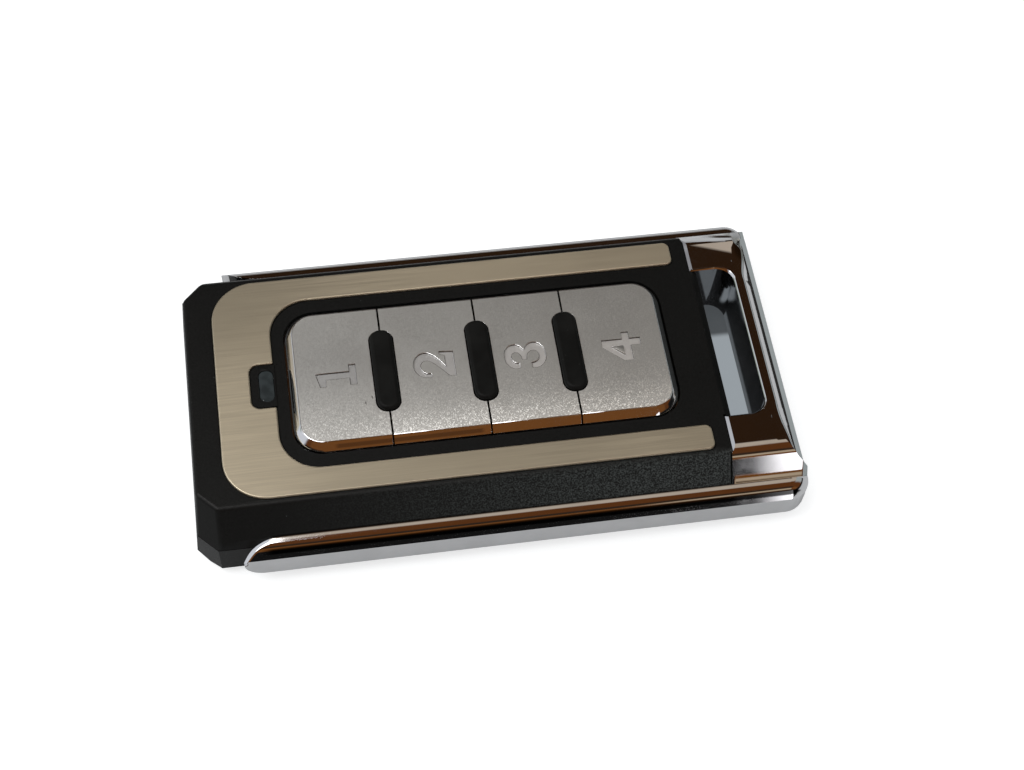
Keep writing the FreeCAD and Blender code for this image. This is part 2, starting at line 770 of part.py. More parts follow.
def make_end_block():
    """Key-ring end: level with the deck, with sloping shoulders and a waisted end slope."""
    base = "rail_bottom"
    left, right = f"{DECK_END} + fit_clearance", f"{GROOVE_END} + end_rail_width / 2"
    section = both_sides([
        (f"{RAIL_HALF} + rail_width / 2", base),
        (f"{RAIL_HALF} + rail_width / 2", "rail_bottom + nose_heel_radius"),
        (RAIL_HALF, "rail_top - rail_rounding"),
        (RAIL_HALF, "rail_top"),
        (slope_half(END_TOP, "0"), END_TOP, "end_shoulder_radius"),
    ])
    block = common("end_block", [
        prism("end_section", "YZ", left, f"{right} - ({left})", section),
        prism("end_profile", "XZ", "-frame_width / 2", "frame_width", [
            (left, base),
            (right, base),
            (right, END_TOP),
            (f"{left} + end_bevel_width", END_TOP),
            (left, f"{END_TOP} - end_bevel_depth"),
        ]),
    ])
    rear = f"{FRAME_RIGHT} + rail_width"
    curve = [
        (f"{SLOT_END} + end_rim_width", "end_rim_length / 2"),
        (f"{SLOT_END} + end_waist_rim", "end_waist_width / 2"),
        (f"{SLOT_END} + end_hip_rim", "end_hip_width / 2"),
        (f"{SLOT_END} + end_flare_rim", "end_flare_width / 2"),
    ]
    far_side = [*curve, (rear, "frame_width / 2")]
    near_side = [(x, f"-{y}") for x, y in far_side]
    upper = [*near_side, *reversed(far_side)]
    lower = [(GROOVE_END if x != rear else rear, y) for x, y in upper]
    slope = loft("end_slope_cut", lower, upper, "rail_top", END_TOP)
    return cut("end_sloped", block, [slope])


def make_steel_plate():
    """Brushed trim plate, glued in the deck's recess."""
    plate = prism("plate", "XY", PLATE_BOTTOM, "plate_thickness", plate_outline("0"))
    dress(plate, "Fillet", at_height(PLATE_TOP), "plate_edge_rounding")
    finish_node(plate, "steel_plate")


def make_led_window():
    """Smoked light guide: an oblong window on a flange that sits under the deck."""
    bottom = f"({BOARD_TOP} + lamp_height + light_gap)"
    top = f"({DECK_TOP} + bezel_proud - light_recess)"
    guide = prism("guide", "XY", bottom, f"{top} - {bottom}", light_outline("0"))
    flange_left = f"{LIGHT_X} - light_length / 2"
    flange = box("guide_flange", (flange_left, "-light_flange_width / 2", f"{CEILING} - light_flange_thickness"),
                 ("light_length", "light_flange_width", "light_flange_thickness"))
    finish_node(fuse("guide_part", [guide, flange]), "led_window")


# Keys and keypad


def make_key(number, low, high, centre):
    """One key: bevelled cap, retaining flange and the post that presses its switch."""
    name = f"key_{number}"
    gap = "key_split / 2"
    left = f"{low} + {gap}" if number > 1 else f"{low} - keys_margin"
    right = f"{high} - {gap}" if number < len(KEY_CENTRES) else f"{high} + keys_margin"
    lane = box(f"{name}_lane", (left, "-frame_width / 2", "0"), (f"{right} - ({left})", "frame_width", RIB_TOP))
    cap = prism(f"{name}_cap", "XY", FLANGE_TOP, f"{KEY_EDGE} - {FLANGE_TOP}", keys_outline("0"))
    inset = "(-key_bevel_width)"
    bevel = loft(f"{name}_bevel", keys_outline("0"), keys_outline(inset), KEY_EDGE, KEY_TOP)
    flange = prism(f"{name}_flange", "XY", FLANGE_BOTTOM, "key_flange_thickness", keys_outline("key_flange_reach"))
    body = common(f"{name}_body", [fuse(f"{name}_blank", [cap, bevel, flange]), lane])
    notches = [
        prism(f"{name}_notch_{i}", "XY", "0", RIB_TOP, rib_outline(rib, "rib_clearance"))
        for i, rib in enumerate(RIBS, 1)
        if i in (number - 1, number)
    ]
    post_bottom = f"({PLUNGER_TOP} + key_post_gap)"
    post = cylinder(f"{name}_post", centre, "0", post_bottom, "key_post_radius", f"{FLANGE_TOP} - {post_bottom}")
    finish_node(fuse(f"{name}_part", [cut(f"{name}_notched", body, notches), post]), name)


def make_rubber_keypad():
    """Rubber sheet under the keys: a rim around them and three ribs between them."""
    inner = "key_flange_reach + mat_rim_clearance"
    outer = f"{inner} + mat_rim_width"
    sheet_part = prism("mat", "XY", MAT_BOTTOM, "mat_thickness", keys_outline(outer))
    rim = prism("mat_rim", "XY", BOARD_TOP, f"{CEILING} - {BOARD_TOP}", keys_outline(outer))
    rim_space = prism("mat_rim_space", "XY", f"{BOARD_TOP} - 1", DECK_TOP, keys_outline(inner))
    ribs = []
    for i, rib in enumerate(RIBS, 1):
        post = prism(f"rib_{i}", "XY", MAT_BOTTOM, f"{RIB_TOP} - {MAT_BOTTOM}", rib_outline(rib, "0"))
        dress(post, "Fillet", at_height(RIB_TOP), "rib_rounding")
        ribs.append(post)
    body = fuse("mat_body", [sheet_part, cut("mat_frame", rim, [rim_space]), *ribs])
    holes = [
        cylinder(f"mat_hole_{i}", centre, "0", "0", "mat_hole_radius", MAT_TOP)
        for i, centre in enumerate(KEY_CENTRES, 1)
    ]
    finish_node(cut("mat_part", body, holes), "rubber_keypad")


# Circuit board


def make_board():
    """Circuit board, narrowed at one end to pass between two screw bosses."""
    side, waist = "board_width / 2", "(board_width / 2 - board_notch_width)"
    shoulder = f"{BOARD_RIGHT} - board_notch_length"
    board = prism("board", "XY", BOARD_BOTTOM, "board_thickness", [
        (BOARD_LEFT, f"-{side}"),
        (shoulder, f"-{side}"),
        (shoulder, f"-{waist}"),
        (BOARD_RIGHT, f"-{waist}"),
        (BOARD_RIGHT, waist),
        (shoulder, waist),
        (shoulder, side),
        (BOARD_LEFT, side),
    ])
    finish_node(board, "circuit_board")


def make_switch(number, centre):
    """Low push switch under a key: its housing, and the plunger that the key presses."""
    housing = middle_box(f"housing_{number}", centre, "0", BOARD_TOP, ("switch_size", "switch_size", "switch_height"))
    well_bottom = f"{BOARD_TOP} + switch_floor"
    well = cylinder(f"well_{number}", centre, "0", well_bottom, "plunger_radius + plunger_clearance", "switch_height")
    finish_node(cut(f"switch_part_{number}", housing, [well]), f"switch_{number}")
    plunger = cylinder(f"plunger_part_{number}", centre, "0", f"{SWITCH_TOP} - plunger_depth", "plunger_radius",
                       "plunger_depth + plunger_reach")
    finish_node(plunger, f"switch_plunger_{number}")


def make_board_parts():
    """What is soldered to the board besides the switches."""
    lamp = middle_box("lamp", LIGHT_X, "0", BOARD_TOP, ("lamp_width", "lamp_length", "lamp_height"))
    finish_node(lamp, "status_led")
    under = BOARD_BOTTOM
    chip = middle_box("chip", CHIP_X, "0", f"{under} - chip_height", ("chip_length", "chip_width", "chip_height"))
    finish_node(chip, "encoder_chip")
    resonator = middle_box("resonator", CHIP_X, "filter_offset", f"{under} - filter_height",
                           ("filter_size", "filter_size", "filter_height"))
    finish_node(resonator, "radio_resonator")
    transistor = middle_box("transistor", CHIP_X, "-filter_offset", f"{under} - transistor_height",
                            ("transistor_length", "transistor_width", "transistor_height"))
    finish_node(transistor, "transmit_transistor")
    trimmer = cylinder("trimmer", f"{BOARD_RIGHT} - trimmer_setback", "trimmer_offset", f"{under} - trimmer_height",
                       "trimmer_radius", "trimmer_height")
    finish_node(trimmer, "tuning_capacitor")
    passives = [
        middle_box(f"passive_{i}", f"{BOARD_RIGHT} - trimmer_setback + ({i} - 2) * passive_pitch", "-trimmer_offset",
                   f"{under} - passive_height", ("passive_width", "passive_length", "passive_height"))
        for i in range(5)
    ]
    finish_node(group("passives", passives), "chip_components")


# Coin cell and contacts


def make_cell():
    """Coin cell: a can with the smaller button of its lower face."""
    bottom = "(floor_thickness + contact_thickness)"
    can = cylinder("cell_can", CELL_X, "0", f"{bottom} + cell_button_height", "cell_radius",
                   "cell_height - cell_button_height")
    button = cylinder("cell_button", CELL_X, "0", bottom, "cell_button_radius", "cell_button_height")
    finish_node(fuse("cell_part", [can, button]), "coin_cell")
    half = "contact_width / 2"
    top_strip = box("top_strip", (f"{CELL_X} - contact_length / 2", f"-{half}", f"{BOARD_BOTTOM} - contact_thickness"),
                    ("contact_length", "contact_width", "contact_thickness"))
    finish_node(top_strip, "positive_contact")
    riser_x = f"{CELL_X} + cell_radius + contact_riser_gap"
    strip = box("low_strip", (CELL_X, f"-{half}", "floor_thickness"),
                (f"{riser_x} - {CELL_X} + contact_thickness", "contact_width", "contact_thickness"))
    riser = box("riser", (riser_x, f"-{half}", "floor_thickness"),
                ("contact_thickness", "contact_width", f"{BOARD_BOTTOM} - floor_thickness"))
    finish_node(fuse("contact_part", [strip, riser]), "negative_contact")


def make_screws():
    """Slotted screws that hold the case halves together, all in one node."""
    heads = screw_columns("screw_head", "screw_recess", "screw_head_radius", "screw_head_height")
    shanks = screw_columns("screw_shank", "screw_recess", "screw_radius", "screw_head_height + screw_length")
    slots = [
        middle_box(f"screw_slot_{i}", x, y, "0", ("frame_width", "screw_slot_width", "screw_recess + screw_slot_depth"))
        for i, (x, y) in enumerate(screw_places(), 1)
    ]
    screws = [
        cut(f"screw_{i}", fuse(f"screw_blank_{i}", [head, shank]), [slot])
        for i, (head, shank, slot) in enumerate(zip(heads, shanks, slots), 1)
    ]
    finish_node(group("screws", screws), "case_screws")


def check_document():
    """Stop if any object failed or any sub-part's shape is empty or not valid."""
    doc.recompute()
    for item in doc.Objects:
        if {"Invalid", "Error"} & set(item.State):
            raise ValueError(f"{item.Label} failed to compute")
    for item in nodes:
        if item.Shape.isNull() or not item.Shape.isValid() or item.Shape.Volume <= 0:
            raise ValueError(f"{item.Label} has no valid solid")


def export_nodes():
    """Write each sub-part to its own file and print its size."""
    os.makedirs("parts", exist_ok=True)
    for item in nodes:
        item.Shape.exportStep(f"parts/{item.Label}.step")
        size = item.Shape.BoundBox
        print(f"{item.Label}: {len(item.Shape.Solids)} solids, {item.Shape.Volume:.1f} mm3, "
              f"{size.XLength:.2f} x {size.YLength:.2f} x {size.ZLength:.2f} mm")


fill_sheet()
make_upper_case()
make_lower_case()
make_chrome_frame()
make_steel_plate()
make_led_window()
make_rubber_keypad()
make_board()
for index, (first, last, middle) in enumerate(zip(KEY_ENDS, KEY_ENDS[1:], KEY_CENTRES), start=1):
    make_key(index, first, last, middle)
    make_switch(index, middle)
make_board_parts()
make_cell()
make_screws()
check_document()
export_nodes()
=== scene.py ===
"""Looks of a slim key-ring remote: black case, plated frame, brushed trim plate and four push keys."""

import logging
import math
from collections.abc import Callable, Mapping, Sequence
from dataclasses import dataclass
from enum import Enum

import bmesh
import bpy
from mathutils import Matrix, Vector


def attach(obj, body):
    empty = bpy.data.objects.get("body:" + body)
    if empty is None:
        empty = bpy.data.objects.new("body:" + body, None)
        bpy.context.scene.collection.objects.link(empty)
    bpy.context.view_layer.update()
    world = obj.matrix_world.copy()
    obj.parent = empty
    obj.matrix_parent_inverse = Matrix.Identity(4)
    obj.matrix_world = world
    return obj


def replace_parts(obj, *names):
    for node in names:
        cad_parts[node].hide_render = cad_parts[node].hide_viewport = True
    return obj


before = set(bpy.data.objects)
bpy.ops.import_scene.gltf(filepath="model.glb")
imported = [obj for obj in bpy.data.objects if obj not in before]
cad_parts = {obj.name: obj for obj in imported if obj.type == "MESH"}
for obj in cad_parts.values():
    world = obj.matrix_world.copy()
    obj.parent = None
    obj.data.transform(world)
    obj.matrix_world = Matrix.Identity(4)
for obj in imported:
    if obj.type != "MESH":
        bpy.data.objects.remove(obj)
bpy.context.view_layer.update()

log = logging.getLogger("remote")

BMesh = bmesh.types.BMesh
BMEdge = bmesh.types.BMEdge
Socket = bpy.types.NodeSocket
Number = "Field | float"
Colour = tuple[float, float, float]
Span = tuple[float, float]
Settings = Mapping[str, object] | None
Sockets = Mapping[str | int, object] | None

MM = 0.001
EVEN: Colour = (1.0, 1.0, 1.0)
UPWARD: Colour = (0.0, 0.0, 1.0)
MID_GREY: Colour = (0.5, 0.5, 0.5)
SPECK_CORE = 0.6
MERGE_REACH = 0.0005
FLAT_ANGLE = 0.4
SMOOTH_ANGLE = 32.0
LEVEL = 0.99


# Shader maths


def scaled(colour: Colour, factor: float) -> Colour:
    """Three numbers, each multiplied by a factor."""
    return tuple(part * factor for part in colour)


class Field:
    """A number that changes over a surface, held as a node's output; arithmetic on it adds Math nodes."""

    def __init__(self, graph: "Graph", socket: Socket) -> None:
        """Keep the socket that carries the number, and the graph that it belongs to."""
        self.graph = graph
        self.socket = socket

    def _joined(self, operation: str, first: Number, second: Number) -> "Field":
        """Result of one Math node."""
        return self.graph.field("ShaderNodeMath", {"operation": operation}, {0: first, 1: second})

    def __add__(self, other: Number) -> "Field":
        """Sum with a number or a field."""
        return self._joined("ADD", self, other)

    __radd__ = __add__

    def __sub__(self, other: Number) -> "Field":
        """Difference from a number or a field."""
        return self._joined("SUBTRACT", self, other)

    def __rsub__(self, other: Number) -> "Field":
        """A number less this field."""
        return self._joined("SUBTRACT", other, self)

    def __mul__(self, other: Number) -> "Field":
        """Product with a number or a field."""
        return self._joined("MULTIPLY", self, other)

    __rmul__ = __mul__

    def __neg__(self) -> "Field":
        """The field with its sign turned."""
        return self._joined("MULTIPLY", self, -1.0)

    def larger(self, other: Number) -> "Field":
        """Larger of this and another value."""
        return self._joined("MAXIMUM", self, other)

    def rising(self, low: float, high: float) -> "Field":
        """Smooth step from 0 at the low value to 1 at the high one."""
        sockets = {"Value": self, "From Min": low, "From Max": high}
        return self.graph.field("ShaderNodeMapRange", {"interpolation_type": "SMOOTHSTEP"}, sockets)

    def falling(self, low: float, high: float) -> "Field":
        """Smooth step from 1 at the low value to 0 at the high one."""
        return 1 - self.rising(low, high)


class Graph:
    """Node tree of one material or of the world, and the one way that nodes get into it."""

    def __init__(self, tree: bpy.types.NodeTree) -> None:
        """Start from an empty tree."""
        self.tree = tree
        tree.nodes.clear()

    def node(self, kind: str, settings: Settings = None, sockets: Sockets = None) -> bpy.types.Node:
        """Add any node.

        Args:
            kind: The node's type.
            settings: Its own settings, set before its sockets; "stops" are a ramp's places and colours.
            sockets: Values or links of its input sockets, by name or number.

        Returns:
            The new node.
        """
        made = self.tree.nodes.new(kind)
        for name, setting in (settings or {}).items():
            if name == "stops":
                self._set_stops(made.color_ramp, setting)
            else:
                setattr(made, name, setting)
        for name, given in (sockets or {}).items():
            socket = made.inputs[name]
            if isinstance(given, Field):
                self.tree.links.new(given.socket, socket)
            elif isinstance(given, Socket):
                self.tree.links.new(given, socket)
            elif socket.type == "RGBA":
                socket.default_value = (*given, 1.0)
            else:
                socket.default_value = given
        return made

    @staticmethod
    def _set_stops(ramp: bpy.types.ColorRamp, stops: Sequence[tuple[float, Colour]]) -> None:
        """Give a ramp its stops.

        Args:
            ramp: The ramp, with its two first stops.
            stops: Place and colour of each stop.
        """
        while len(ramp.elements) < len(stops):
            ramp.elements.new(1.0)
        for element, (place, colour) in zip(ramp.elements, stops):
            element.position = place
            element.color = (*colour, 1.0)

    def field(self, kind: str, settings: Settings, sockets: Sockets) -> Field:
        """Add a node and take its first output as a number."""
        return Field(self, self.node(kind, settings, sockets).outputs[0])

    def vector(self, operation: str, first: object, second: object) -> Socket:
        """Result of one Vector Math node; a SCALE takes its factor as the second value."""
        sockets = {0: first, "Scale" if operation == "SCALE" else 1: second}
        return self.node("ShaderNodeVectorMath", {"operation": operation}, sockets).outputs[0]

    def unit(self, vector: object) -> Socket:
        """A vector brought to a length of 1."""
        return self.node("ShaderNodeVectorMath", {"operation": "NORMALIZE"}, {0: vector}).outputs[0]

    def split(self, vector: Socket) -> tuple[Field, Field, Field]:
        """The three parts of a vector."""
        parts = self.node("ShaderNodeSeparateXYZ", None, {0: vector}).outputs
        return Field(self, parts[0]), Field(self, parts[1]), Field(self, parts[2])

    def millimetres(self, stretch: Colour = EVEN) -> Socket:
        """Place on the piece in millimetres, with each axis multiplied by its stretch.

        Args:
            stretch: Factor of each axis.

        Returns:
            The place.
        """
        place = self.node("ShaderNodeTexCoord").outputs["Object"]
        sockets = {"Vector": place, "Scale": scaled(stretch, 1 / MM)}
        return self.node("ShaderNodeMapping", None, sockets).outputs[0]

    def places(self) -> dict[str, Field]:
        """Place on the piece in millimetres: x, y, z, and side, the distance from its middle line."""
        x, y, z = self.split(self.millimetres())
        return {"x": x, "y": y, "z": z, "side": y.larger(-y)}

    def noise(self, size: float, detail: float = 2.0, stretch: Colour = EVEN) -> Field:
        """Cloudy pattern with patches of a size in millimetres, drawn out by a stretch under 1."""
        sockets = {"Vector": self.millimetres(stretch), "Scale": 1 / size, "Detail": detail}
        return self.field("ShaderNodeTexNoise", None, sockets)

    def cells(self, size: float, output: str = "Color") -> Socket:
        """Random colour or distance of small cells of a width in millimetres."""
        sockets = {"Vector": self.millimetres(), "Scale": 1 / size}
        return self.node("ShaderNodeTexVoronoi", None, sockets).outputs[output]

    def specks(self, size: float, share: float) -> Field:
        """Scattered round specks that are 1 inside, by their spacing and their radius as a share of it."""
        return Field(self, self.cells(size, "Distance")).falling(share * SPECK_CORE, share)

    def blend(self, factor: Number, low: object, high: object) -> Socket:
        """Colour between two colours: the first where the factor is 0, the second where it is 1."""
        return self.node("ShaderNodeMix", {"data_type": "RGBA"}, {0: factor, 6: low, 7: high}).outputs[2]

    def layered(self, base: object, *layers: tuple[Number, object]) -> Socket:
        """Colour with others laid over it.

        Args:
            base: The lowest colour.
            layers: Share and colour of each layer, from the lowest up.

        Returns:
            The resulting colour.
        """
        for share, colour in layers:
            base = self.blend(share, base, colour)
        return base

    def relief(self, height: Field, depth: float, base: object = None) -> Socket:
        """Normal of a surface with a fine relief.

        Args:
            height: Height of the relief, from 0 to 1.
            depth: Its full depth in millimetres.
            base: Normal that the relief is added to.

        Returns:
            The bent normal.
        """
        sockets = {"Height": height, "Distance": depth * MM}
        if base is not None:
            sockets["Normal"] = base
        return self.node("ShaderNodeBump", None, sockets).outputs[0]

    def normal(self) -> Socket:
        """The surface's own normal."""
        return self.node("ShaderNodeNewGeometry").outputs["Normal"]

    def glitter(self, size: float, tilt: float) -> Socket:
        """Normal of a surface of small facets, by their width in millimetres and their tilt."""
        turn = self.vector("SCALE", self.vector("SUBTRACT", self.cells(size), MID_GREY), 2 * tilt)
        return self.unit(self.vector("ADD", self.normal(), turn))

    def toward(self, base: object, share: Field, way: Colour) -> Socket:
        """A normal, or for None the surface's own, drawn towards a fixed way as on a face that swells."""
        sockets = {0: share, 4: base or self.normal(), 5: way}
        return self.unit(self.node("ShaderNodeMix", {"data_type": "VECTOR"}, sockets).outputs[1])

    def finish(self, shader: Socket, output: str = "ShaderNodeOutputMaterial") -> None:
        """Send a shader to the tree's output."""
        self.node(output, None, {"Surface": shader})


@dataclass(frozen=True)
class Area:
    """Soft-edged area, by the spans in which coordinates lead into it and those in which they lead out."""

    into: Mapping[str, Span]
    out: Mapping[str, Span]

    def mask(self, places: Mapping[str, Field]) -> Field:
        """Mask of the area.

        Args:
            places: The coordinates by name.

        Returns:
            1 inside the area and 0 outside.
        """
        edges = [places[name].rising(*span) for name, span in self.into.items()]
        edges += [places[name].falling(*span) for name, span in self.out.items()]
        return math.prod(edges[1:], start=edges[0])


@dataclass(frozen=True)
class Patch(Area):
    """Area with a colour of its own, which covers what lies below it by a share."""

    colour: Colour
    share: float = 1.0

    def layer(self, places: Mapping[str, Field]) -> tuple[Field, Colour]:
        """Share and colour of the patch as a layer, for coordinates by name."""
        return self.mask(places) * self.share, self.colour


def new_material(name: str) -> tuple[bpy.types.Material, Graph]:
    """Material with an empty node tree.

    Args:
        name: Name of the material.

    Returns:
        The material and its graph.
    """
    made = bpy.data.materials.new(name)
    made.use_nodes = True
    return made, Graph(made.node_tree)


class Finish:
    """A finish that a material is made from."""

    def surface(self, graph: Graph) -> Sockets:
        """Sockets of the surface's shader; each finish gives its own."""
        raise NotImplementedError

    def material(self, name: str) -> bpy.types.Material:
        """Make the material.

        Args:
            name: Name of the material.

        Returns:
            The material.
        """
        made, graph = new_material(name)
        graph.finish(graph.node("ShaderNodeBsdfPrincipled", None, self.surface(graph)).outputs[0])
        return made


@dataclass(frozen=True)
class MouldedPlastic(Finish):
    """Injection-moulded plastic with a fine spark-eroded grain and a painted sheen of light specks on the
    near slope of the case.
    """

    colour: Colour = (0.0042, 0.0043, 0.0040)
    roughness: float = 0.42
    grain: float = 0.16
    depth: float = 0.012
    # Area of the painted sheen on the near slope of the case.
    painted_sheen_slope: Area = Area({"x": (-26.0, 20.0)}, {"y": (-13.2, -12.2)})
    # Colour of the real dust specks and of the painted sheen.
    glint: Colour = (0.115, 0.13, 0.125)

    def surface(self, graph: Graph) -> Sockets:
        """Sockets of the grained plastic.

        Args:
            graph: Node tree of the material.

        Returns:
            Sockets of the shader, by name.
        """
        grain = graph.noise(self.grain, 3.0)
        cloud = graph.noise(6.0)
        pits = graph.specks(0.55, 0.16)
        dust = graph.specks(2.6, 0.03)
        # Painted sheen: specks on the near slope are painted lighter, as if they caught light from the front
        # right.
        sheen = self.painted_sheen_slope.mask(graph.places()) * graph.noise(0.15, 1.0).rising(0.32, 0.78)
        pale = (grain.rising(0.35, 0.75) * 0.5 + cloud * 0.2, scaled(self.colour, 1.9))
        return {
            "Base Color": graph.layered(self.colour, pale, (sheen * 0.5 + dust * 0.4, self.glint)),
            "Roughness": self.roughness + (grain - 0.5) * 0.22 + (cloud - 0.5) * 0.08 - pits * 0.12,
            "IOR": 1.38,
            "Specular IOR Level": 0.25,
            "Normal": graph.relief(grain + pits * 0.25, self.depth),
        }


@dataclass(frozen=True)
class Plating(Finish):
    """Polished bright plating with faint polishing lines and a few specks."""

    colour: Colour = (0.84, 0.84, 0.85)
    speck: Colour = (0.9, 0.9, 0.88)
    roughness: float = 0.045
    wave: float = 0.0006

    def swell(self, graph: Graph) -> object:
        """Normal of the plated form before its polishing lines; plain plating has none of its own."""
        return None

    def surface(self, graph: Graph) -> Sockets:
        """Sockets of the plated metal.

        Args:
            graph: Node tree of the material.

        Returns:
            Sockets of the shader, by name.
        """
        haze = graph.noise(4.0, 3.0)
        lines = graph.noise(0.5, 2.0, (0.12, 1.0, 1.0))
        specks = graph.specks(3.4, 0.022)
        dull = (haze.rising(0.35, 0.7), scaled(self.colour, 0.93))
        return {
            "Base Color": graph.layered(self.colour, dull, (specks * 0.6, self.speck)),
            "Metallic": 1.0 - specks * 0.5,
            "Roughness": self.roughness + haze.rising(0.45, 0.8) * 0.05 + lines * 0.015 + specks * 0.4,
            "Normal": graph.relief(haze + lines * 0.15, self.wave, self.swell(graph)),
        }


@dataclass(frozen=True)
class FramePlating(Plating):
    """Plating of the frame, whose bar, crown, shoulders, ledge and thin rail ends swell a little."""

    bar: Area = Area({"x": (27.1, 27.3), "z": (6.5, 6.7)}, {"side": (12.0, 12.3), "beyond": (-0.35, 0.35)})
    bar_end: float = 28.4
    bar_turn: Span = (7.5, 12.0)
    bar_sweep: float = 0.9
    foot: Area = Area(
        {"side": (12.2, 12.6), "x": (22.6, 22.8)},
        {"side": (14.95, 15.05), "x": (29.6, 29.8), "z": (6.2, 7.3)},
    )
    foot_share: float = 0.32
    crown: Area = Area({"slant": (18.9, 21.2), "z": (8.9, 9.0)}, {"side": (11.9, 12.0)})
    crown_slant: float = 0.35
    crown_share: float = 0.22
    crown_way: Colour = (0.0, -1.0, 0.3)
    ledge: Area = Area({"x": (29.55, 29.8), "z": (6.08, 6.13)}, {})
    ledge_way: Colour = (0.42, 0.0, 0.9)
    tip: Area = Area({"z": (3.6, 4.4)}, {"from_cut": (0.12, 0.5), "x": (-23.6, -22.8), "y": (-1.0, 1.0)})
    tip_way: Colour = (-0.5, -0.08, 0.86)
    rail_start: float = -23.0
    cut_start: float = 15.1
    cut_slope: float = 0.24
    cut_bend: float = 0.103
    # Painted shade on the rails: their outer rounding is painted nearly black and their low sides a little
    # darker.
    arc: Area = Area({"side": (16.0, 16.15), "z": (5.2, 5.35), "x": (-24.5, -23.0)}, {})
    painted_shade_flank: Area = Area({"side": (16.5, 16.65)}, {"z": (4.6, 4.9)})
    # Painted darker reflection: the far shoulder corner is painted a dull olive grey.
    corner: Patch = Patch(
        {"x": (27.6, 28.4), "y": (10.0, 11.5), "z": (6.2, 6.4)}, {"z": (8.9, 9.0)}, (0.22, 0.22, 0.17), 0.7
    )

    def swell(self, graph: Graph) -> object:
        """Normal that is level across the bar and leans on the crown, the ledge and the rails' ends.

        Args:
            graph: Node tree of the material.

        Returns:
            The normal.
        """
        places = graph.places()
        x, side = places["x"], places["side"]
        run = self.rail_start - x
        places["slant"] = places["y"] + x * self.crown_slant
        places["beyond"] = x - self.bar_end - side.rising(*self.bar_turn) * self.bar_sweep
        places["from_cut"] = side - self.cut_start - run * self.cut_slope - run * run * self.cut_bend
        level = self.bar.mask(places) + self.foot.mask(places) * self.foot_share
        upward = graph.toward(None, level, UPWARD)
        upward = graph.toward(upward, self.crown.mask(places) * self.crown_share, self.crown_way)
        upward = graph.toward(upward, self.ledge.mask(places), self.ledge_way)
        return graph.toward(upward, self.tip.mask(places), self.tip_way)

    def surface(self, graph: Graph) -> Sockets:
        """Sockets of the plated metal, with painted shade on the rails' outer rounding and low sides and a
        painted darker reflection at the far corner.

        Args:
            graph: Node tree of the material.

        Returns:
            Sockets of the shader, by name.
        """
        sockets = dict(super().surface(graph))
        places = graph.places()
        # Painted shade on the rails and a painted darker reflection at the far corner, laid over the
        # plating's colour.
        rails = (self.arc.mask(places) * 0.92 + self.painted_shade_flank.mask(places) * 0.14, (0.0, 0.0, 0.0))
        sockets["Base Color"] = graph.layered(sockets["Base Color"], rails, self.corner.layer(places))
        return sockets


@dataclass(frozen=True)
class BevelPlating(Plating):
    """Plating of the keys' bevels, which are slightly rounded."""

    height: Span = (9.15, 9.95)
    swelling: float = 0.04
    # Painted reflection at the right end of the row: dull green low on the bevel and brown higher up.
    right_end: Span = (18.2, 18.6)
    right_height: Span = (9.5, 9.8)
    painted_reflection_low: Colour = (0.20, 0.21, 0.17)
    painted_reflection_high: Colour = (0.42, 0.27, 0.16)
    # Painted darker bluish reflection on the near bevels of the first two keys.
    painted_dark_reflection: Patch = Patch(
        {"x": (-16.3, -15.7), "z": (9.30, 9.42)},
        {"x": (-1.9, -1.3), "y": (-6.5, -6.0), "z": (9.62, 9.74)},
        (0.25, 0.27, 0.40),
        0.6,
    )

    def swell(self, graph: Graph) -> object:
        """Normal that rises towards the upper edge of the bevel."""
        return graph.toward(None, graph.places()["z"].rising(*self.height) * self.swelling, UPWARD)

    def surface(self, graph: Graph) -> Sockets:
        """Sockets of the plated metal, with a painted green and brown reflection at the right end of the row
        and a painted darker bluish reflection on the near bevels near its left end.

        Args:
            graph: Node tree of the material.

        Returns:
            Sockets of the shader, by name.
        """
        sockets = dict(super().surface(graph))
        places = graph.places()
        # Painted reflections laid over the plating's colour.
        painted_reflection = graph.blend(places["z"].rising(*self.right_height), self.painted_reflection_low, self.painted_reflection_high)
        right = (places["x"].rising(*self.right_end) * 0.85, painted_reflection)
        sockets["Base Color"] = graph.layered(sockets["Base Color"], right, self.painted_dark_reflection.layer(places))
        return sockets


@dataclass(frozen=True)
class Brushed(Finish):
    """Stainless steel brushed in one direction, with painted shade at the left and painted light at the back.
    """

    colour: Colour = (0.58, 0.515, 0.39)
    roughness: float = 0.50
    broad_lines: Colour = (0.010, 1.0, 1.0)
    fine_lines: Colour = (0.020, 1.0, 1.0)
    # Areas of painted shade at the left and of painted light at the back.
    painted_shade_far_left: Area = Area({"y": (-1.0, 9.0)}, {"x": (-25.0, -12.0)})
    painted_shade_near_left: Area = Area({"x": (-24.0, -15.0)}, {"x": (4.0, 16.0), "y": (-10.0, -6.0)})
    painted_light_back: Area = Area({"x": (-14.0, 0.0), "y": (5.0, 9.0)}, {})

    def surface(self, graph: Graph) -> Sockets:
        """Sockets of the brushed metal.

        Args:
            graph: Node tree of the material.

        Returns:
            Sockets of the shader, by name.
        """
        broad = graph.noise(0.2, 3.0, self.broad_lines)
        fine = graph.noise(0.11, 2.0, self.fine_lines)
        cloud = graph.noise(9.0)
        streak = broad * 0.4 + fine * 0.6
        places = graph.places()
        # Painted shade at the left and painted light at the back, over the brushing's own streaks.
        left = self.painted_shade_far_left.mask(places) * 0.75 + self.painted_shade_near_left.mask(places) * 0.4
        layers = (
            (streak.rising(0.32, 0.68), scaled(self.colour, 1.06)),
            (left, scaled(self.colour, 0.68)),
            (self.painted_light_back.mask(places), scaled(self.colour, 1.14)),
        )
        return {
            "Base Color": graph.layered(scaled(self.colour, 0.91), *layers),
            "Metallic": 1.0,
            "Roughness": self.roughness + (streak - 0.5) * 0.20 + (cloud - 0.5) * 0.08,
            "Normal": graph.relief(fine * 0.6 + broad * 0.4, 0.003),
        }


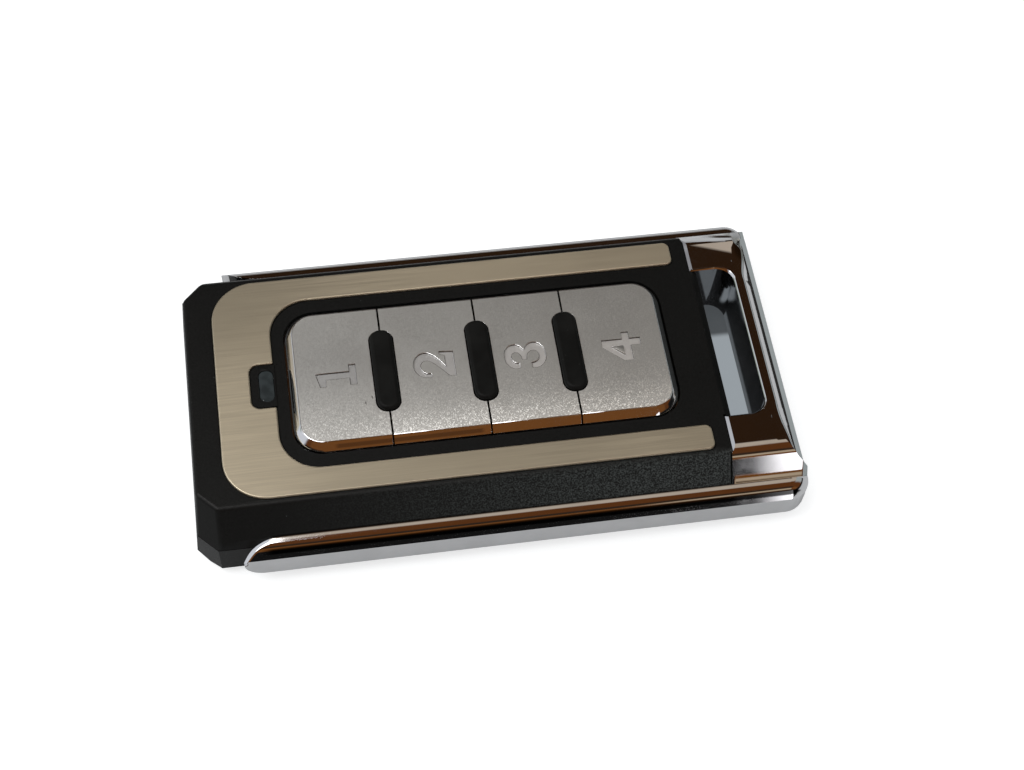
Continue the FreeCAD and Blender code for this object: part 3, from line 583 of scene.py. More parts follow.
@dataclass(frozen=True)
class Blasted(Finish):
    """Plated metal blasted to a sparkling satin, with painted glints on its sparks, painted light at the near
    side of the keys, a painted shaded patch on the first key and painted lightening towards the right.
    """

    colour: Colour = (0.66, 0.67, 0.655)
    roughness: float = 0.44
    facet: float = 0.075
    tilt: float = 0.03
    sparkle: float = 0.6
    # Share of the painted light at the near side and of the painted shaded patch on the first key.
    painted_light_and_shade: float = 0.35
    # Share of the painted lightening towards the right.
    painted_lightening: float = 0.0
    crown: float = 0.05
    near: Area = Area({}, {"y": (-8.5, 0.5)})
    lively: Area = Area({"x": (-14.0, 19.0)}, {})
    # Where the painted shaded patch lies, on the middle of the first key.
    painted_shade_patch: Area = Area({"y": (-5.5, -0.5)}, {"x": (-14.0, -9.0), "y": (1.5, 6.5)})
    painted_lightening_run: Span = (-18.0, 14.0)
    near_edge: Area = Area({"x": (-17.0, -6.0)}, {"y": (-7.8, -3.5)})
    spark_way: Colour = (-0.34, -0.29, 0.9)
    crown_way: Colour = (0.0, -1.0, 0.4)
    scuffs: tuple[Span, Span] = ((-12.0, -2.9), (-12.7, -3.5))

    def scuffed(self, x: Field, y: Field) -> Field:
        """Short dark scratches.

        Args:
            x: Place along the remote in millimetres.
            y: Place across it.

        Returns:
            1 in a scratch and 0 elsewhere.
        """
        marks = []
        for right, up in self.scuffs:
            across = (x - right) * 2.2
            along = (y - up) + (x - right)
            marks.append((across * across + along * along).falling(0.01, 0.05))
        return marks[0].larger(marks[1])

    def surface(self, graph: Graph) -> Sockets:
        """Sockets of the blasted metal.

        Args:
            graph: Node tree of the material.

        Returns:
            Sockets of the shader, by name.
        """
        grain = graph.noise(0.14)
        cloud = graph.noise(5.0)
        places = graph.places()
        near = self.near.mask(places)
        lively = near * 1.1 + self.lively.mask(places) * 0.4
        # Painted glints: the sparks are also painted nearly white, on top of facets that really tilt.
        sparks = Field(graph, graph.cells(self.facet * 1.02)).rising(0.66, 0.76) * lively * self.sparkle
        # Painted light and shade: the shaded patch on the first key, the lighter near side and the lightening
        # to the right; the scratches are real marks.
        layers = (
            (grain.rising(0.3, 0.65), self.colour),
            (self.painted_shade_patch.mask(places) * self.painted_light_and_shade * 0.36, (0.30, 0.30, 0.31)),
            (near * self.painted_light_and_shade, (1.0, 1.0, 0.975)),
            (places["x"].rising(*self.painted_lightening_run) * self.painted_lightening, (1.0, 1.0, 0.99)),
            (self.scuffed(places["x"], places["y"]) * 0.7, (0.08, 0.08, 0.075)),
            (sparks * 0.6, (1.0, 1.0, 0.97)),
        )
        facets = graph.toward(graph.glitter(self.facet, self.tilt), sparks * 0.36, self.spark_way)
        swollen = graph.toward(facets, self.near_edge.mask(places) * self.crown, self.crown_way)
        return {
            "Base Color": graph.layered(scaled(self.colour, 0.95), *layers),
            "Metallic": 1.0,
            "Roughness": self.roughness + (grain - 0.5) * 0.10 + (cloud - 0.5) * 0.06 - sparks * 0.2,
            "Normal": graph.relief(grain, 0.0014, swollen),
        }


@dataclass(frozen=True)
class SatinMetal(Finish):
    """Plain metal with a satin surface, for the parts inside and the screws."""

    colour: Colour
    roughness: float
    grain: float

    def surface(self, graph: Graph) -> Sockets:
        """Sockets of the satin metal.

        Args:
            graph: Node tree of the material.

        Returns:
            Sockets of the shader, by name.
        """
        turned = graph.noise(self.grain, 3.0, (1.0, 1.0, 4.0))
        stain = graph.noise(3.0, 3.0)
        return {
            "Base Color": graph.blend(stain.rising(0.4, 0.7), self.colour, scaled(self.colour, 0.78)),
            "Metallic": 1.0,
            "Roughness": self.roughness + (turned - 0.5) * 0.2 + (stain - 0.5) * 0.15,
            "Normal": graph.relief(turned, 0.004),
        }


@dataclass(frozen=True)
class SmokedLens(Finish):
    """Smoked, softly diffusing plastic of the signal window."""

    colour: Colour = (0.034, 0.042, 0.044)
    speck: Colour = (0.35, 0.36, 0.36)
    roughness: float = 0.16

    def surface(self, graph: Graph) -> Sockets:
        """Sockets of the smoked plastic.

        Args:
            graph: Node tree of the material.

        Returns:
            Sockets of the shader, by name.
        """
        haze = graph.noise(0.9)
        specks = graph.specks(0.8, 0.07)
        clear = (haze.rising(0.3, 0.7), self.colour)
        return {
            "Base Color": graph.layered(scaled(self.colour, 0.6), clear, (specks * 0.5, self.speck)),
            "Roughness": self.roughness + haze * 0.06 + specks * 0.3,
            "IOR": 1.49,
            "Coat Weight": 0.4 + haze * 0.2,
            "Coat Roughness": 0.05,
            "Normal": graph.relief(haze, 0.004),
        }


@dataclass(frozen=True)
class SoftRubber(Finish):
    """Black silicone rubber."""

    colour: Colour = (0.004, 0.004, 0.0036)
    speck: Colour = (0.06, 0.06, 0.055)
    roughness: float = 0.52

    def surface(self, graph: Graph) -> Sockets:
        """Sockets of the rubber.

        Args:
            graph: Node tree of the material.

        Returns:
            Sockets of the shader, by name.
        """
        skin = graph.noise(0.12)
        bloom = graph.noise(2.5, 3.0)
        dust = graph.specks(1.1, 0.05)
        pale = (bloom.rising(0.35, 0.75), scaled(self.colour, 1.8))
        return {
            "Base Color": graph.layered(self.colour, pale, (dust * 0.4, self.speck)),
            "Roughness": self.roughness + (skin - 0.5) * 0.15 + (bloom - 0.5) * 0.12,
            "IOR": 1.40,
            "Specular IOR Level": 0.16,
            "Normal": graph.relief(skin, 0.004),
        }


@dataclass(frozen=True)
class Laminate(Finish):
    """Circuit board: solder mask over copper tracks and a glass weave."""

    colour: Colour = (0.012, 0.085, 0.035)
    track: Colour = (0.03, 0.17, 0.07)
    pad: Colour = (0.62, 0.52, 0.30)

    def surface(self, graph: Graph) -> Sockets:
        """Sockets of the board.

        Args:
            graph: Node tree of the material.

        Returns:
            Sockets of the shader, by name.
        """
        waves = {"Vector": graph.millimetres(), "Scale": 0.22, "Distortion": 3.0, "Detail": 1.0}
        across = graph.field("ShaderNodeTexWave", {"bands_direction": "Y"}, waves)
        weave = graph.noise(0.4, 1.0, (1.0, 3.0, 1.0))
        tracks = across.rising(0.55, 0.62)
        pads = graph.specks(2.4, 0.16)
        return {
            "Base Color": graph.layered(self.colour, (tracks, self.track), (pads, self.pad)),
            "Metallic": pads * 0.9,
            "Roughness": 0.36 + weave * 0.15 - pads * 0.1,
            "Normal": graph.relief(tracks * 0.8 + weave * 0.1, 0.03),
        }


@dataclass(frozen=True)
class PartBody(Finish):
    """Moulded or sintered body of an electronic part."""

    colour: Colour
    roughness: float
    shine: float = 0.0

    def surface(self, graph: Graph) -> Sockets:
        """Sockets of the part's body.

        Args:
            graph: Node tree of the material.

        Returns:
            Sockets of the shader, by name.
        """
        grain = graph.noise(0.1)
        shade = graph.noise(1.2)
        return {
            "Base Color": graph.blend(shade.rising(0.3, 0.7), scaled(self.colour, 0.7), self.colour),
            "Roughness": self.roughness + (grain - 0.5) * 0.2,
            "Coat Weight": self.shine + shade * 0.1,
            "Normal": graph.relief(grain, 0.006),
        }


# Meshes


def merged_copy(name: str) -> BMesh:
    """Copy of a CAD node's mesh with the corners of its loose triangles merged.

    Args:
        name: The node.

    Returns:
        The closed mesh, still in triangles.
    """
    mesh = bmesh.new()
    mesh.from_mesh(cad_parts[name].data)
    bmesh.ops.remove_doubles(mesh, verts=mesh.verts, dist=MERGE_REACH * MM)
    return mesh


def dissolve_flats(mesh: BMesh) -> None:
    """Join the triangles of each flat face of a mesh.

    Args:
        mesh: The mesh.
    """
    bmesh.ops.dissolve_limit(
        mesh,
        angle_limit=math.radians(FLAT_ANGLE),
        verts=mesh.verts,
        edges=mesh.edges,
        use_dissolve_boundaries=False,
    )


def placed(name: str, data: bpy.types.ID) -> bpy.types.Object:
    """New object in the scene.

    Args:
        name: Its name.
        data: Its mesh, curve, lamp or camera.

    Returns:
        The object.
    """
    made = bpy.data.objects.new(name, data)
    bpy.context.scene.collection.objects.link(made)
    return made


def solid_object(name: str, mesh: BMesh) -> bpy.types.Object:
    """New object that holds a mesh.

    Args:
        name: Its name.
        mesh: Its mesh, which is freed.

    Returns:
        The object.
    """
    data = bpy.data.meshes.new(name)
    mesh.to_mesh(data)
    mesh.free()
    return placed(name, data)


def evaluated_mesh(source: bpy.types.Object) -> bpy.types.Mesh:
    """New mesh of an object as its modifiers or its curve make it."""
    bpy.context.view_layer.update()
    return bpy.data.meshes.new_from_object(source.evaluated_get(bpy.context.evaluated_depsgraph_get()))


def settle(piece: bpy.types.Object) -> None:
    """Apply every modifier of a piece to its mesh.

    Args:
        piece: The piece.
    """
    result = evaluated_mesh(piece)
    piece.modifiers.clear()
    old = piece.data
    piece.data = result
    result.name = piece.name
    bpy.data.meshes.remove(old)


def turns(edge: BMEdge, angle: float) -> bool:
    """Whether the two faces of an edge meet at more than an angle in degrees."""
    return len(edge.link_faces) == 2 and edge.calc_face_angle(0.0) > math.radians(angle)


def soften_edges(
    mesh: BMesh,
    width: float,
    angle: float,
    chosen: Callable[[BMEdge], bool] | None = None,
    segments: int = 2,
) -> None:
    """Round the sharp edges of a mesh a little.

    Args:
        mesh: The mesh.
        width: Width of the rounding in millimetres.
        angle: Edges that turn more than this many degrees are sharp.
        chosen: Test that an edge has to pass, or None for every sharp edge.
        segments: Number of faces across the rounding.
    """
    mesh.normal_update()
    bmesh.ops.bevel(
        mesh,
        geom=[edge for edge in mesh.edges if turns(edge, angle) and (chosen is None or chosen(edge))],
        offset=width * MM,
        offset_type="OFFSET",
        segments=segments,
        profile=0.5,
        affect="EDGES",
        clamp_overlap=True,
        material=-1,
    )


def finished_piece(name: str, mesh: BMesh, materials: Sequence[bpy.types.Material]) -> bpy.types.Object:
    """Object made from a finished mesh, smooth except at its sharp edges.

    Args:
        name: Name of the piece.
        mesh: Its mesh, which is freed.
        materials: Its materials, in slot order.

    Returns:
        The object.
    """
    mesh.normal_update()
    for face in mesh.faces:
        face.smooth = True
    for edge in mesh.edges:
        edge.smooth = not turns(edge, SMOOTH_ANGLE)
    piece = solid_object(name, mesh)
    for material in materials:
        piece.data.materials.append(material)
    even = piece.modifiers.new("even_shading", "WEIGHTED_NORMAL")
    even.keep_sharp = True
    even.weight = 100
    settle(piece)
    return piece


def stand_in(piece: bpy.types.Object, node: str, body: str) -> None:
    """Put a finished piece in the place of a CAD node and report it.

    Args:
        piece: The piece.
        node: The node that it stands for.
        body: The body that it moves with.
    """
    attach(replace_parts(piece, node), body)
    report(piece)


def report(piece: bpy.types.Object) -> None:
    """Log the name and size of a finished piece."""
    log.info("%s: %d faces", piece.name, len(piece.data.polygons))


# Sub-assemblies


@dataclass
class RoundedPiece:
    """A piece of the case's body that has the shape of its CAD node, with rounded edges and one finish."""

    node: str
    name: str
    slot: str
    coating: str
    finish: Finish
    edge: float
    sharp: float = 40.0

    def shape(self, mesh: BMesh) -> None:
        """Work on the copy of the node's mesh, here only at its edges."""
        soften_edges(mesh, self.edge, self.sharp)

    def build(self) -> None:
        """Build the piece."""
        mesh = merged_copy(self.node)
        dissolve_flats(mesh)
        self.shape(mesh)
        piece = finished_piece(self.name, mesh, [self.finish.material(self.coating)])
        stand_in(piece, self.node, "case")


@dataclass
class TrimPlate(RoundedPiece):
    """Brushed U-shaped plate round the keys."""

    node: str = "steel_plate"
    name: str = "brushed_plate"
    slot: str = "brushed_trim"
    coating: str = "brushed_steel"
    finish: Finish = Brushed()
    edge: float = 0.1


@dataclass
class SignalWindow(RoundedPiece):
    """Smoked window over the signal lamp."""

    node: str = "led_window"
    name: str = "smoked_lens"
    slot: str = "smoked_window"
    coating: str = "smoked_plastic"
    finish: Finish = SmokedLens()
    edge: float = 0.09


@dataclass
class Keypad(RoundedPiece):
    """Rubber sheet whose three ribs stand between the keys."""

    node: str = "rubber_keypad"
    name: str = "rubber_ribs"
    slot: str = "keypad_rubber"
    coating: str = "black_rubber"
    finish: Finish = SoftRubber()
    edge: float = 0.05


@dataclass
class BackScrews(RoundedPiece):
    """Slotted screws in the back."""

    node: str = "case_screws"
    name: str = "slotted_screws"
    slot: str = "screw_steel"
    coating: str = "screw_steel"
    finish: Finish = SatinMetal((0.5, 0.5, 0.51), 0.28, 0.2)
    edge: float = 0.06


@dataclass
class PlatedFrame(RoundedPiece):
    """Rails and key-ring end in bright plating."""

    node: str = "chrome_frame"
    name: str = "plated_frame"
    slot: str = "frame_chrome"
    coating: str = "bright_plating"
    finish: Finish = FramePlating()
    edge: float = 0.06
    sharp: float = 24.0
    nose: float = 0.34
    nose_sharp: float = 80.0
    nose_start: float = -23.7
    nose_floor: float = 3.4
    nose_lean: float = 0.3
    corner_start: Colour = (27.8, 11.8, 6.3)
    corner_way: Colour = (0.789, 0.264, 0.555)
    corner_reach: float = 30.2
    corner_merge: float = 0.005

    def on_nose(self, edge: BMEdge) -> bool:
        """Whether an edge lies along the thin end of a rail, where it meets the case.

        Args:
            edge: The edge.

        Returns:
            True on the thin end.
        """
        if any(vert.co.x >= self.nose_start * MM or vert.co.z <= self.nose_floor * MM for vert in edge.verts):
            return False
        side = edge.verts[0].co.y
        return any(face.normal.x < -self.nose_lean and face.normal.y * side < 0 for face in edge.link_faces)

    def trim_corner(self, mesh: BMesh) -> None:
        """Flatten the small point at the far upper corner of the key-ring end.

        Args:
            mesh: The frame's mesh.
        """
        way = Vector(self.corner_way).normalized()
        moved = []
        for vert in mesh.verts:
            past = vert.co.dot(way) / MM - self.corner_reach
            if past > 0 and all(part / MM > start for part, start in zip(vert.co, self.corner_start)):
                vert.co -= way * past * MM
                moved.append(vert)
        bmesh.ops.remove_doubles(mesh, verts=moved, dist=self.corner_merge * MM)

    def shape(self, mesh: BMesh) -> None:
        """Trim the far corner, then round the thin ends of the rails and every other edge.

        Args:
            mesh: The frame's mesh.
        """
        self.trim_corner(mesh)
        soften_edges(mesh, self.nose, self.nose_sharp, self.on_nose, 6)
        soften_edges(mesh, self.edge, self.sharp)


@dataclass
class CaseHalves:
    """Upper and lower half of the black case."""

    edge: float = 0.07
    sharp: float = 28.0
    rim: float = 0.3
    rim_side: float = 12.6
    rim_left: float = -27.4
    rim_floor: float = 6.1
    left_end: float = -26.0
    left_floor: float = 5.2
    finish: Finish = MouldedPlastic()

    def on_rim(self, edge: BMEdge) -> bool:
        """Whether an edge lies round the outside of the case, above its underside.

        Args:
            edge: The edge.

        Returns:
            True outside.
        """
        places = [vert.co for vert in edge.verts]
        outside = all(abs(place.y) > self.rim_side * MM or place.x < self.rim_left * MM for place in places)
        low = self.left_floor if all(place.x < self.left_end * MM for place in places) else self.rim_floor
        upright = all(face.normal.z > -0.05 for face in edge.link_faces)
        return outside and upright and all(place.z > low * MM for place in places)

    def build(self) -> None:
        """Build both halves."""
        plastic = self.finish.material("case_plastic")
        for node in ("upper_case", "lower_case"):
            mesh = merged_copy(node)
            dissolve_flats(mesh)
            soften_edges(mesh, self.rim, self.sharp, self.on_rim, 4)
            soften_edges(mesh, self.edge, self.sharp)
            stand_in(finished_piece(f"{node}_moulding", mesh, [plastic]), node, "case")


class Turn(Enum):
    """How an outline passes a point."""

    SHARP = "VECTOR"
    ROUND = "AUTO"


Outline = tuple[tuple[float, float, Turn], ...]


@dataclass(frozen=True)
class Digit:
    """One engraved digit: its middle on the key and its outlines, in millimetres to the right and up."""

    x: float
    y: float
    outlines: tuple[Outline, ...]

    @classmethod
    def one(cls, x: float, y: float) -> "Digit":
        """Digit 1 with a flag and a slab foot.

        Args:
            x: Place of its middle along the remote.
            y: Place of its middle across it.

        Returns:
            The digit.
        """
        stem, foot, flag = 0.36, 1.14, -1.33
        corners = (
            (stem, 2.0), (stem, flag), (foot, flag), (foot, -1.95), (-foot, -1.95), (-foot, flag),
            (-stem, flag), (-stem, 1.1), (-foot, 1.12), (-foot, 1.66),
        )
        return cls(x, y, (tuple((right, up, Turn.SHARP) for right, up in corners),))

    @classmethod
    def two(cls, x: float, y: float) -> "Digit":
        """Digit 2 with a slab foot and a small upright serif.

        Args:
            x: Place of its middle along the remote.
            y: Place of its middle across it.

        Returns:
            The digit.
        """
        cut, arc = Turn.SHARP, Turn.ROUND
        outline = (
            (-1.42, 0.40, cut), (-1.36, 1.20, arc), (-0.85, 1.82, arc), (0.10, 2.06, arc), (1.05, 1.72, arc),
            (1.44, 0.95, arc), (1.25, 0.25, arc), (0.83, -0.26, arc), (-0.38, -1.15, cut), (0.98, -1.12, cut),
            (1.12, -0.64, cut), (1.44, -0.64, cut), (1.32, -2.0, cut), (-1.48, -2.0, cut),
            (-1.44, -1.40, cut), (0.0, -0.12, arc), (0.42, 0.40, arc), (0.52, 0.92, arc), (0.15, 1.36, arc),
            (-0.45, 1.36, arc), (-0.92, 0.98, arc), (-1.02, 0.42, cut),
        )
        return cls(x, y, (outline,))

    @classmethod
    def three(cls, x: float, y: float) -> "Digit":
        """Digit 3 with two round lobes and a short middle spur.

        Args:
            x: Place of its middle along the remote.
            y: Place of its middle across it.

        Returns:
            The digit.
        """
        cut, arc = Turn.SHARP, Turn.ROUND
        outline = (
            (-1.38, 0.68, cut), (-1.34, 1.32, arc), (-0.85, 1.86, arc), (0.0, 2.08, arc), (0.98, 1.84, arc),
            (1.42, 1.15, arc), (1.20, 0.46, arc), (0.72, 0.08, cut), (1.32, -0.38, arc), (1.50, -1.05, arc),
            (1.05, -1.78, arc), (0.10, -2.07, arc), (-0.95, -1.82, arc), (-1.44, -1.15, arc),
            (-1.42, -0.58, cut), (-0.86, -0.54, cut), (-0.70, -1.08, arc), (-0.10, -1.42, arc),
            (0.46, -1.18, arc), (0.55, -0.62, arc), (0.15, -0.18, arc), (-0.42, -0.10, cut),
            (-0.42, 0.34, cut), (0.12, 0.44, arc), (0.50, 0.86, arc), (0.36, 1.28, arc), (-0.15, 1.42, arc),
            (-0.64, 1.20, arc), (-0.84, 0.70, cut),
        )
        return cls(x, y, (outline,))

    @classmethod
    def four(cls, x: float, y: float) -> "Digit":
        """Digit 4 with an open slanted arm.

        Args:
            x: Place of its middle along the remote.
            y: Place of its middle across it.

        Returns:
            The digit.
        """
        outer = (
            (0.10, 2.04), (0.90, 2.0), (0.88, -0.15), (1.66, -0.15), (1.66, -0.86), (0.88, -0.88),
            (0.88, -1.98), (0.08, -1.98), (0.08, -0.93), (-1.66, -0.95), (-1.66, 0.02),
        )
        counter = ((0.10, 1.02), (0.08, -0.16), (-0.98, -0.18))
        lines = (outer, counter)
        return cls(x, y, tuple(tuple((right, up, Turn.SHARP) for right, up in line) for line in lines))


class KeyFace(Enum):
    """Slots of a key's faces."""

    TOP = 0
    BEVEL = 1
    DIGIT = 2
    WALL = 3


@dataclass
class KeyBank:
    """The four keys, each with its digit engraved in the top."""

    digits: tuple[Digit, ...] = (
        Digit.one(-15.28, -0.03),
        Digit.two(-5.46, 0.11),
        Digit.three(3.73, 0.03),
        Digit.four(13.63, -0.05),
    )
    digit_reach: float = 2.3
    depth: float = 0.2
    rise: float = 0.4
    edge: float = 0.03
    edge_sharp: float = 30.0
    crest: float = 0.06
    crest_tilt: Span = (0.5, 0.8)
    lip: float = 0.05
    lip_sharp: float = 60.0
    lip_tilt: float = 0.15
    near: float = 0.02
    top: Finish = Blasted()
    bevel: Finish = BevelPlating(colour=(0.86, 0.86, 0.87), roughness=0.05)
    # Digit floors, with painted lightening towards the right end of the row.
    floor: Finish = Blasted(
        colour=(0.60, 0.61, 0.615),
        roughness=0.46,
        facet=0.5,
        tilt=0.01,
        sparkle=0.0,
        painted_light_and_shade=0.0,
        painted_lightening=0.9,
        crown=0.0,
    )
    # Dark plating of the engraving's walls: painted shade in the recess.
    wall: Finish = Plating(colour=(0.10, 0.095, 0.09), roughness=0.25)

    def build(self) -> None:
        """Build every key."""
        materials = [
            self.top.material("blasted_metal"),
            self.bevel.material("polished_bevel"),
            self.floor.material("digit_floor"),
            self.wall.material("digit_wall"),
        ]
        for number, digit in enumerate(self.digits, 1):
            self.build_key(f"key_{number}", digit, materials)

    def build_key(self, node: str, digit: Digit, materials: Sequence[bpy.types.Material]) -> None:
        """Build one key.

        Args:
            node: The CAD node that it stands for, and the body that it rides on.
            digit: Its digit.
            materials: Materials in the order of KeyFace.
        """
        mesh = merged_copy(node)
        top = max(vert.co.z for vert in mesh.verts)
        mesh = self.engrave(mesh, digit, top)
        dissolve_flats(mesh)
        soften_edges(mesh, self.crest, self.edge_sharp, self.on_crest, 3)
        soften_edges(mesh, self.edge, self.edge_sharp, lambda edge: not self.in_digit(edge, digit))
        soften_edges(mesh, self.lip, self.lip_sharp, lambda edge: self.on_lip(edge, digit, top))
        self.sort_faces(mesh, digit, top)
        stand_in(finished_piece(f"{node}_cap", mesh, materials), node, node)

    def on_crest(self, edge: BMEdge) -> bool:
        """Whether an edge lies between a key's top and its bevel."""
        tilts = sorted(face.normal.z for face in edge.link_faces)
        return len(tilts) == 2 and self.crest_tilt[0] < tilts[0] < self.crest_tilt[1] and tilts[1] > LEVEL

    def in_digit(self, part: BMEdge | bmesh.types.BMFace, digit: Digit) -> bool:
        """Whether an edge or a face belongs to the digit's engraving, by its corners.

        Args:
            part: The edge or face.
            digit: The digit.

        Returns:
            True inside the digit's field.
        """
        middle = (digit.x * MM, digit.y * MM)
        reach = self.digit_reach * MM
        return all(abs(place - at) < reach for vert in part.verts for place, at in zip(vert.co, middle))

    def on_lip(self, edge: BMEdge, digit: Digit, top: float) -> bool:
        """Whether an edge lies along the upper edge of the engraving."""
        level = all(abs(vert.co.z - top) < self.near / 2 * MM for vert in edge.verts)
        return level and self.in_digit(edge, digit)

    def engrave(self, mesh: BMesh, digit: Digit, top: float) -> BMesh:
        """Cut the digit into a key.

        Args:
            mesh: The closed key, which is freed.
            digit: Its digit.
            top: Height of the key's top in metres.

        Returns:
            The key with its engraving.
        """
        blank = solid_object("key_blank", mesh)
        stamp = self.stamp(digit, top)
        cut = blank.modifiers.new("engraving", "BOOLEAN")
        cut.operation = "DIFFERENCE"
        cut.solver = "EXACT"
        cut.object = stamp
        settle(blank)
        engraved = bmesh.new()
        engraved.from_mesh(blank.data)
        for spent in (blank, stamp):
            data = spent.data
            bpy.data.objects.remove(spent)
            bpy.data.meshes.remove(data)
        bmesh.ops.remove_doubles(engraved, verts=engraved.verts, dist=MERGE_REACH * MM)
        return engraved

    def stamp(self, digit: Digit, top: float) -> bpy.types.Object:
        """Prism in the shape of a digit, from its floor to above the key.

        Args:
            digit: The digit.
            top: Height of the key's top in metres.

        Returns:
            The prism as an object.
        """
        curve = bpy.data.curves.new("digit", "CURVE")
        curve.dimensions = "2D"
        curve.fill_mode = "BOTH"
        curve.resolution_u = 6
        curve.extrude = (self.depth + self.rise) / 2
        for outline in digit.outlines:
            line = curve.splines.new("BEZIER")
            line.bezier_points.add(len(outline) - 1)
            line.use_cyclic_u = True
            for point, (right, up, _) in zip(line.bezier_points, outline):
                point.co = (right, up, 0.0)
            for point, (_, _, turn) in zip(line.bezier_points, outline):
                point.handle_left_type = turn.value
                point.handle_right_type = turn.value
        holder = placed("digit", curve)
        data = evaluated_mesh(holder)
        bpy.data.objects.remove(holder)
        mesh = bmesh.new()
        mesh.from_mesh(data)
        bpy.data.meshes.remove(data)
        bmesh.ops.remove_doubles(mesh, verts=mesh.verts, dist=1e-4)
        middle = Vector((digit.x * MM, digit.y * MM, top + (self.rise - self.depth) / 2 * MM))
        place = Matrix.Translation(middle) @ Matrix.Rotation(math.radians(90), 4, "Z") @ Matrix.Scale(MM, 4)
        bmesh.ops.transform(mesh, matrix=place, verts=mesh.verts)
        bmesh.ops.recalc_face_normals(mesh, faces=mesh.faces)
        return solid_object("digit_stamp", mesh)

    def sort_faces(self, mesh: BMesh, digit: Digit, top: float) -> None:
        """Give the top, the bevels, the digit's floor and its walls their own materials.

        Args:
            mesh: The engraved key.
            digit: Its digit.
            top: Height of its top in metres.
        """
        mesh.normal_update()
        for face in mesh.faces:
            level = face.normal.z > LEVEL
            height = (face.calc_center_median().z - top) / MM
            kind = KeyFace.BEVEL
            if level and height > -self.near:
                kind = KeyFace.TOP
            elif level and abs(height + self.depth) < self.near:
                kind = KeyFace.DIGIT
            elif -self.depth - self.near < height < 0 and self.in_digit(face, digit):
                kind = KeyFace.BEVEL if face.normal.z > self.lip_tilt else KeyFace.WALL
            face.material_index = kind.value


class Dress:
    """Material of parts that keep their CAD shapes."""

    def __init__(self, name: str, finish: Finish, *nodes: str) -> None:
        """Keep the material's name and finish, and the CAD nodes that it is for."""
        self.name, self.finish, self.nodes = name, finish, nodes

    def build(self) -> None:
        """Give the nodes the material."""
        material = self.finish.material(self.name)
        for node in self.nodes:
            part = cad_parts[node]
            part.data.materials.clear()
            part.data.materials.append(material)
            report(part)


@dataclass
class Inside:
    """Circuit board, switches, cell and contacts."""

    switch_count: int = 4
    housing: Finish = PartBody((0.045, 0.045, 0.047), 0.45)
    plunger: Finish = PartBody((0.42, 0.05, 0.035), 0.3, 0.2)
    parts: tuple[Dress, ...] = (
        Dress("board_laminate", Laminate(), "circuit_board"),
        Dress("lamp_epoxy", PartBody((0.5, 0.06, 0.04), 0.15, 0.6), "status_led"),
        Dress("chip_epoxy", PartBody((0.022, 0.022, 0.023), 0.55), "encoder_chip", "transmit_transistor"),
        Dress("can_metal", SatinMetal((0.62, 0.62, 0.63), 0.25, 0.25), "radio_resonator"),
        Dress("part_ceramic", PartBody((0.55, 0.42, 0.27), 0.35, 0.1), "tuning_capacitor", "chip_components"),
        Dress("cell_steel", SatinMetal((0.66, 0.66, 0.68), 0.22, 0.5), "coin_cell"),
        Dress(
            "spring_metal", SatinMetal((0.72, 0.55, 0.26), 0.26, 0.3), "positive_contact", "negative_contact"
        ),
    )

    def build(self) -> None:
        """Dress every part inside the case."""
        numbers = range(1, self.switch_count + 1)
        Dress("switch_housing", self.housing, *(f"switch_{i}" for i in numbers)).build()
        Dress("switch_plunger", self.plunger, *(f"switch_plunger_{i}" for i in numbers)).build()
        for part in self.parts:
            part.build()


# Studio


@dataclass(frozen=True)
class SoftLamp:
    """Rectangular lamp: its middle, what it points at, its two sides and its power."""

    name: str = "high_left_lamp"
    place: Colour = (-0.287, -0.028, 0.5)
    target: Colour = (-0.287, -0.028, 0.0)
    width: float = 0.50
    height: float = 0.285
    power: float = 1.9

    def build(self) -> None:
        """Set the lamp up."""
        lamp = bpy.data.lights.new(self.name, "AREA")
        lamp.shape = "RECTANGLE"
        lamp.size = self.width
        lamp.size_y = self.height
        lamp.energy = self.power
        holder = placed(self.name, lamp)
        holder.location = self.place
        toward = Vector(self.target) - Vector(self.place)
        holder.rotation_euler = toward.to_track_quat("-Z", "Y").to_euler()


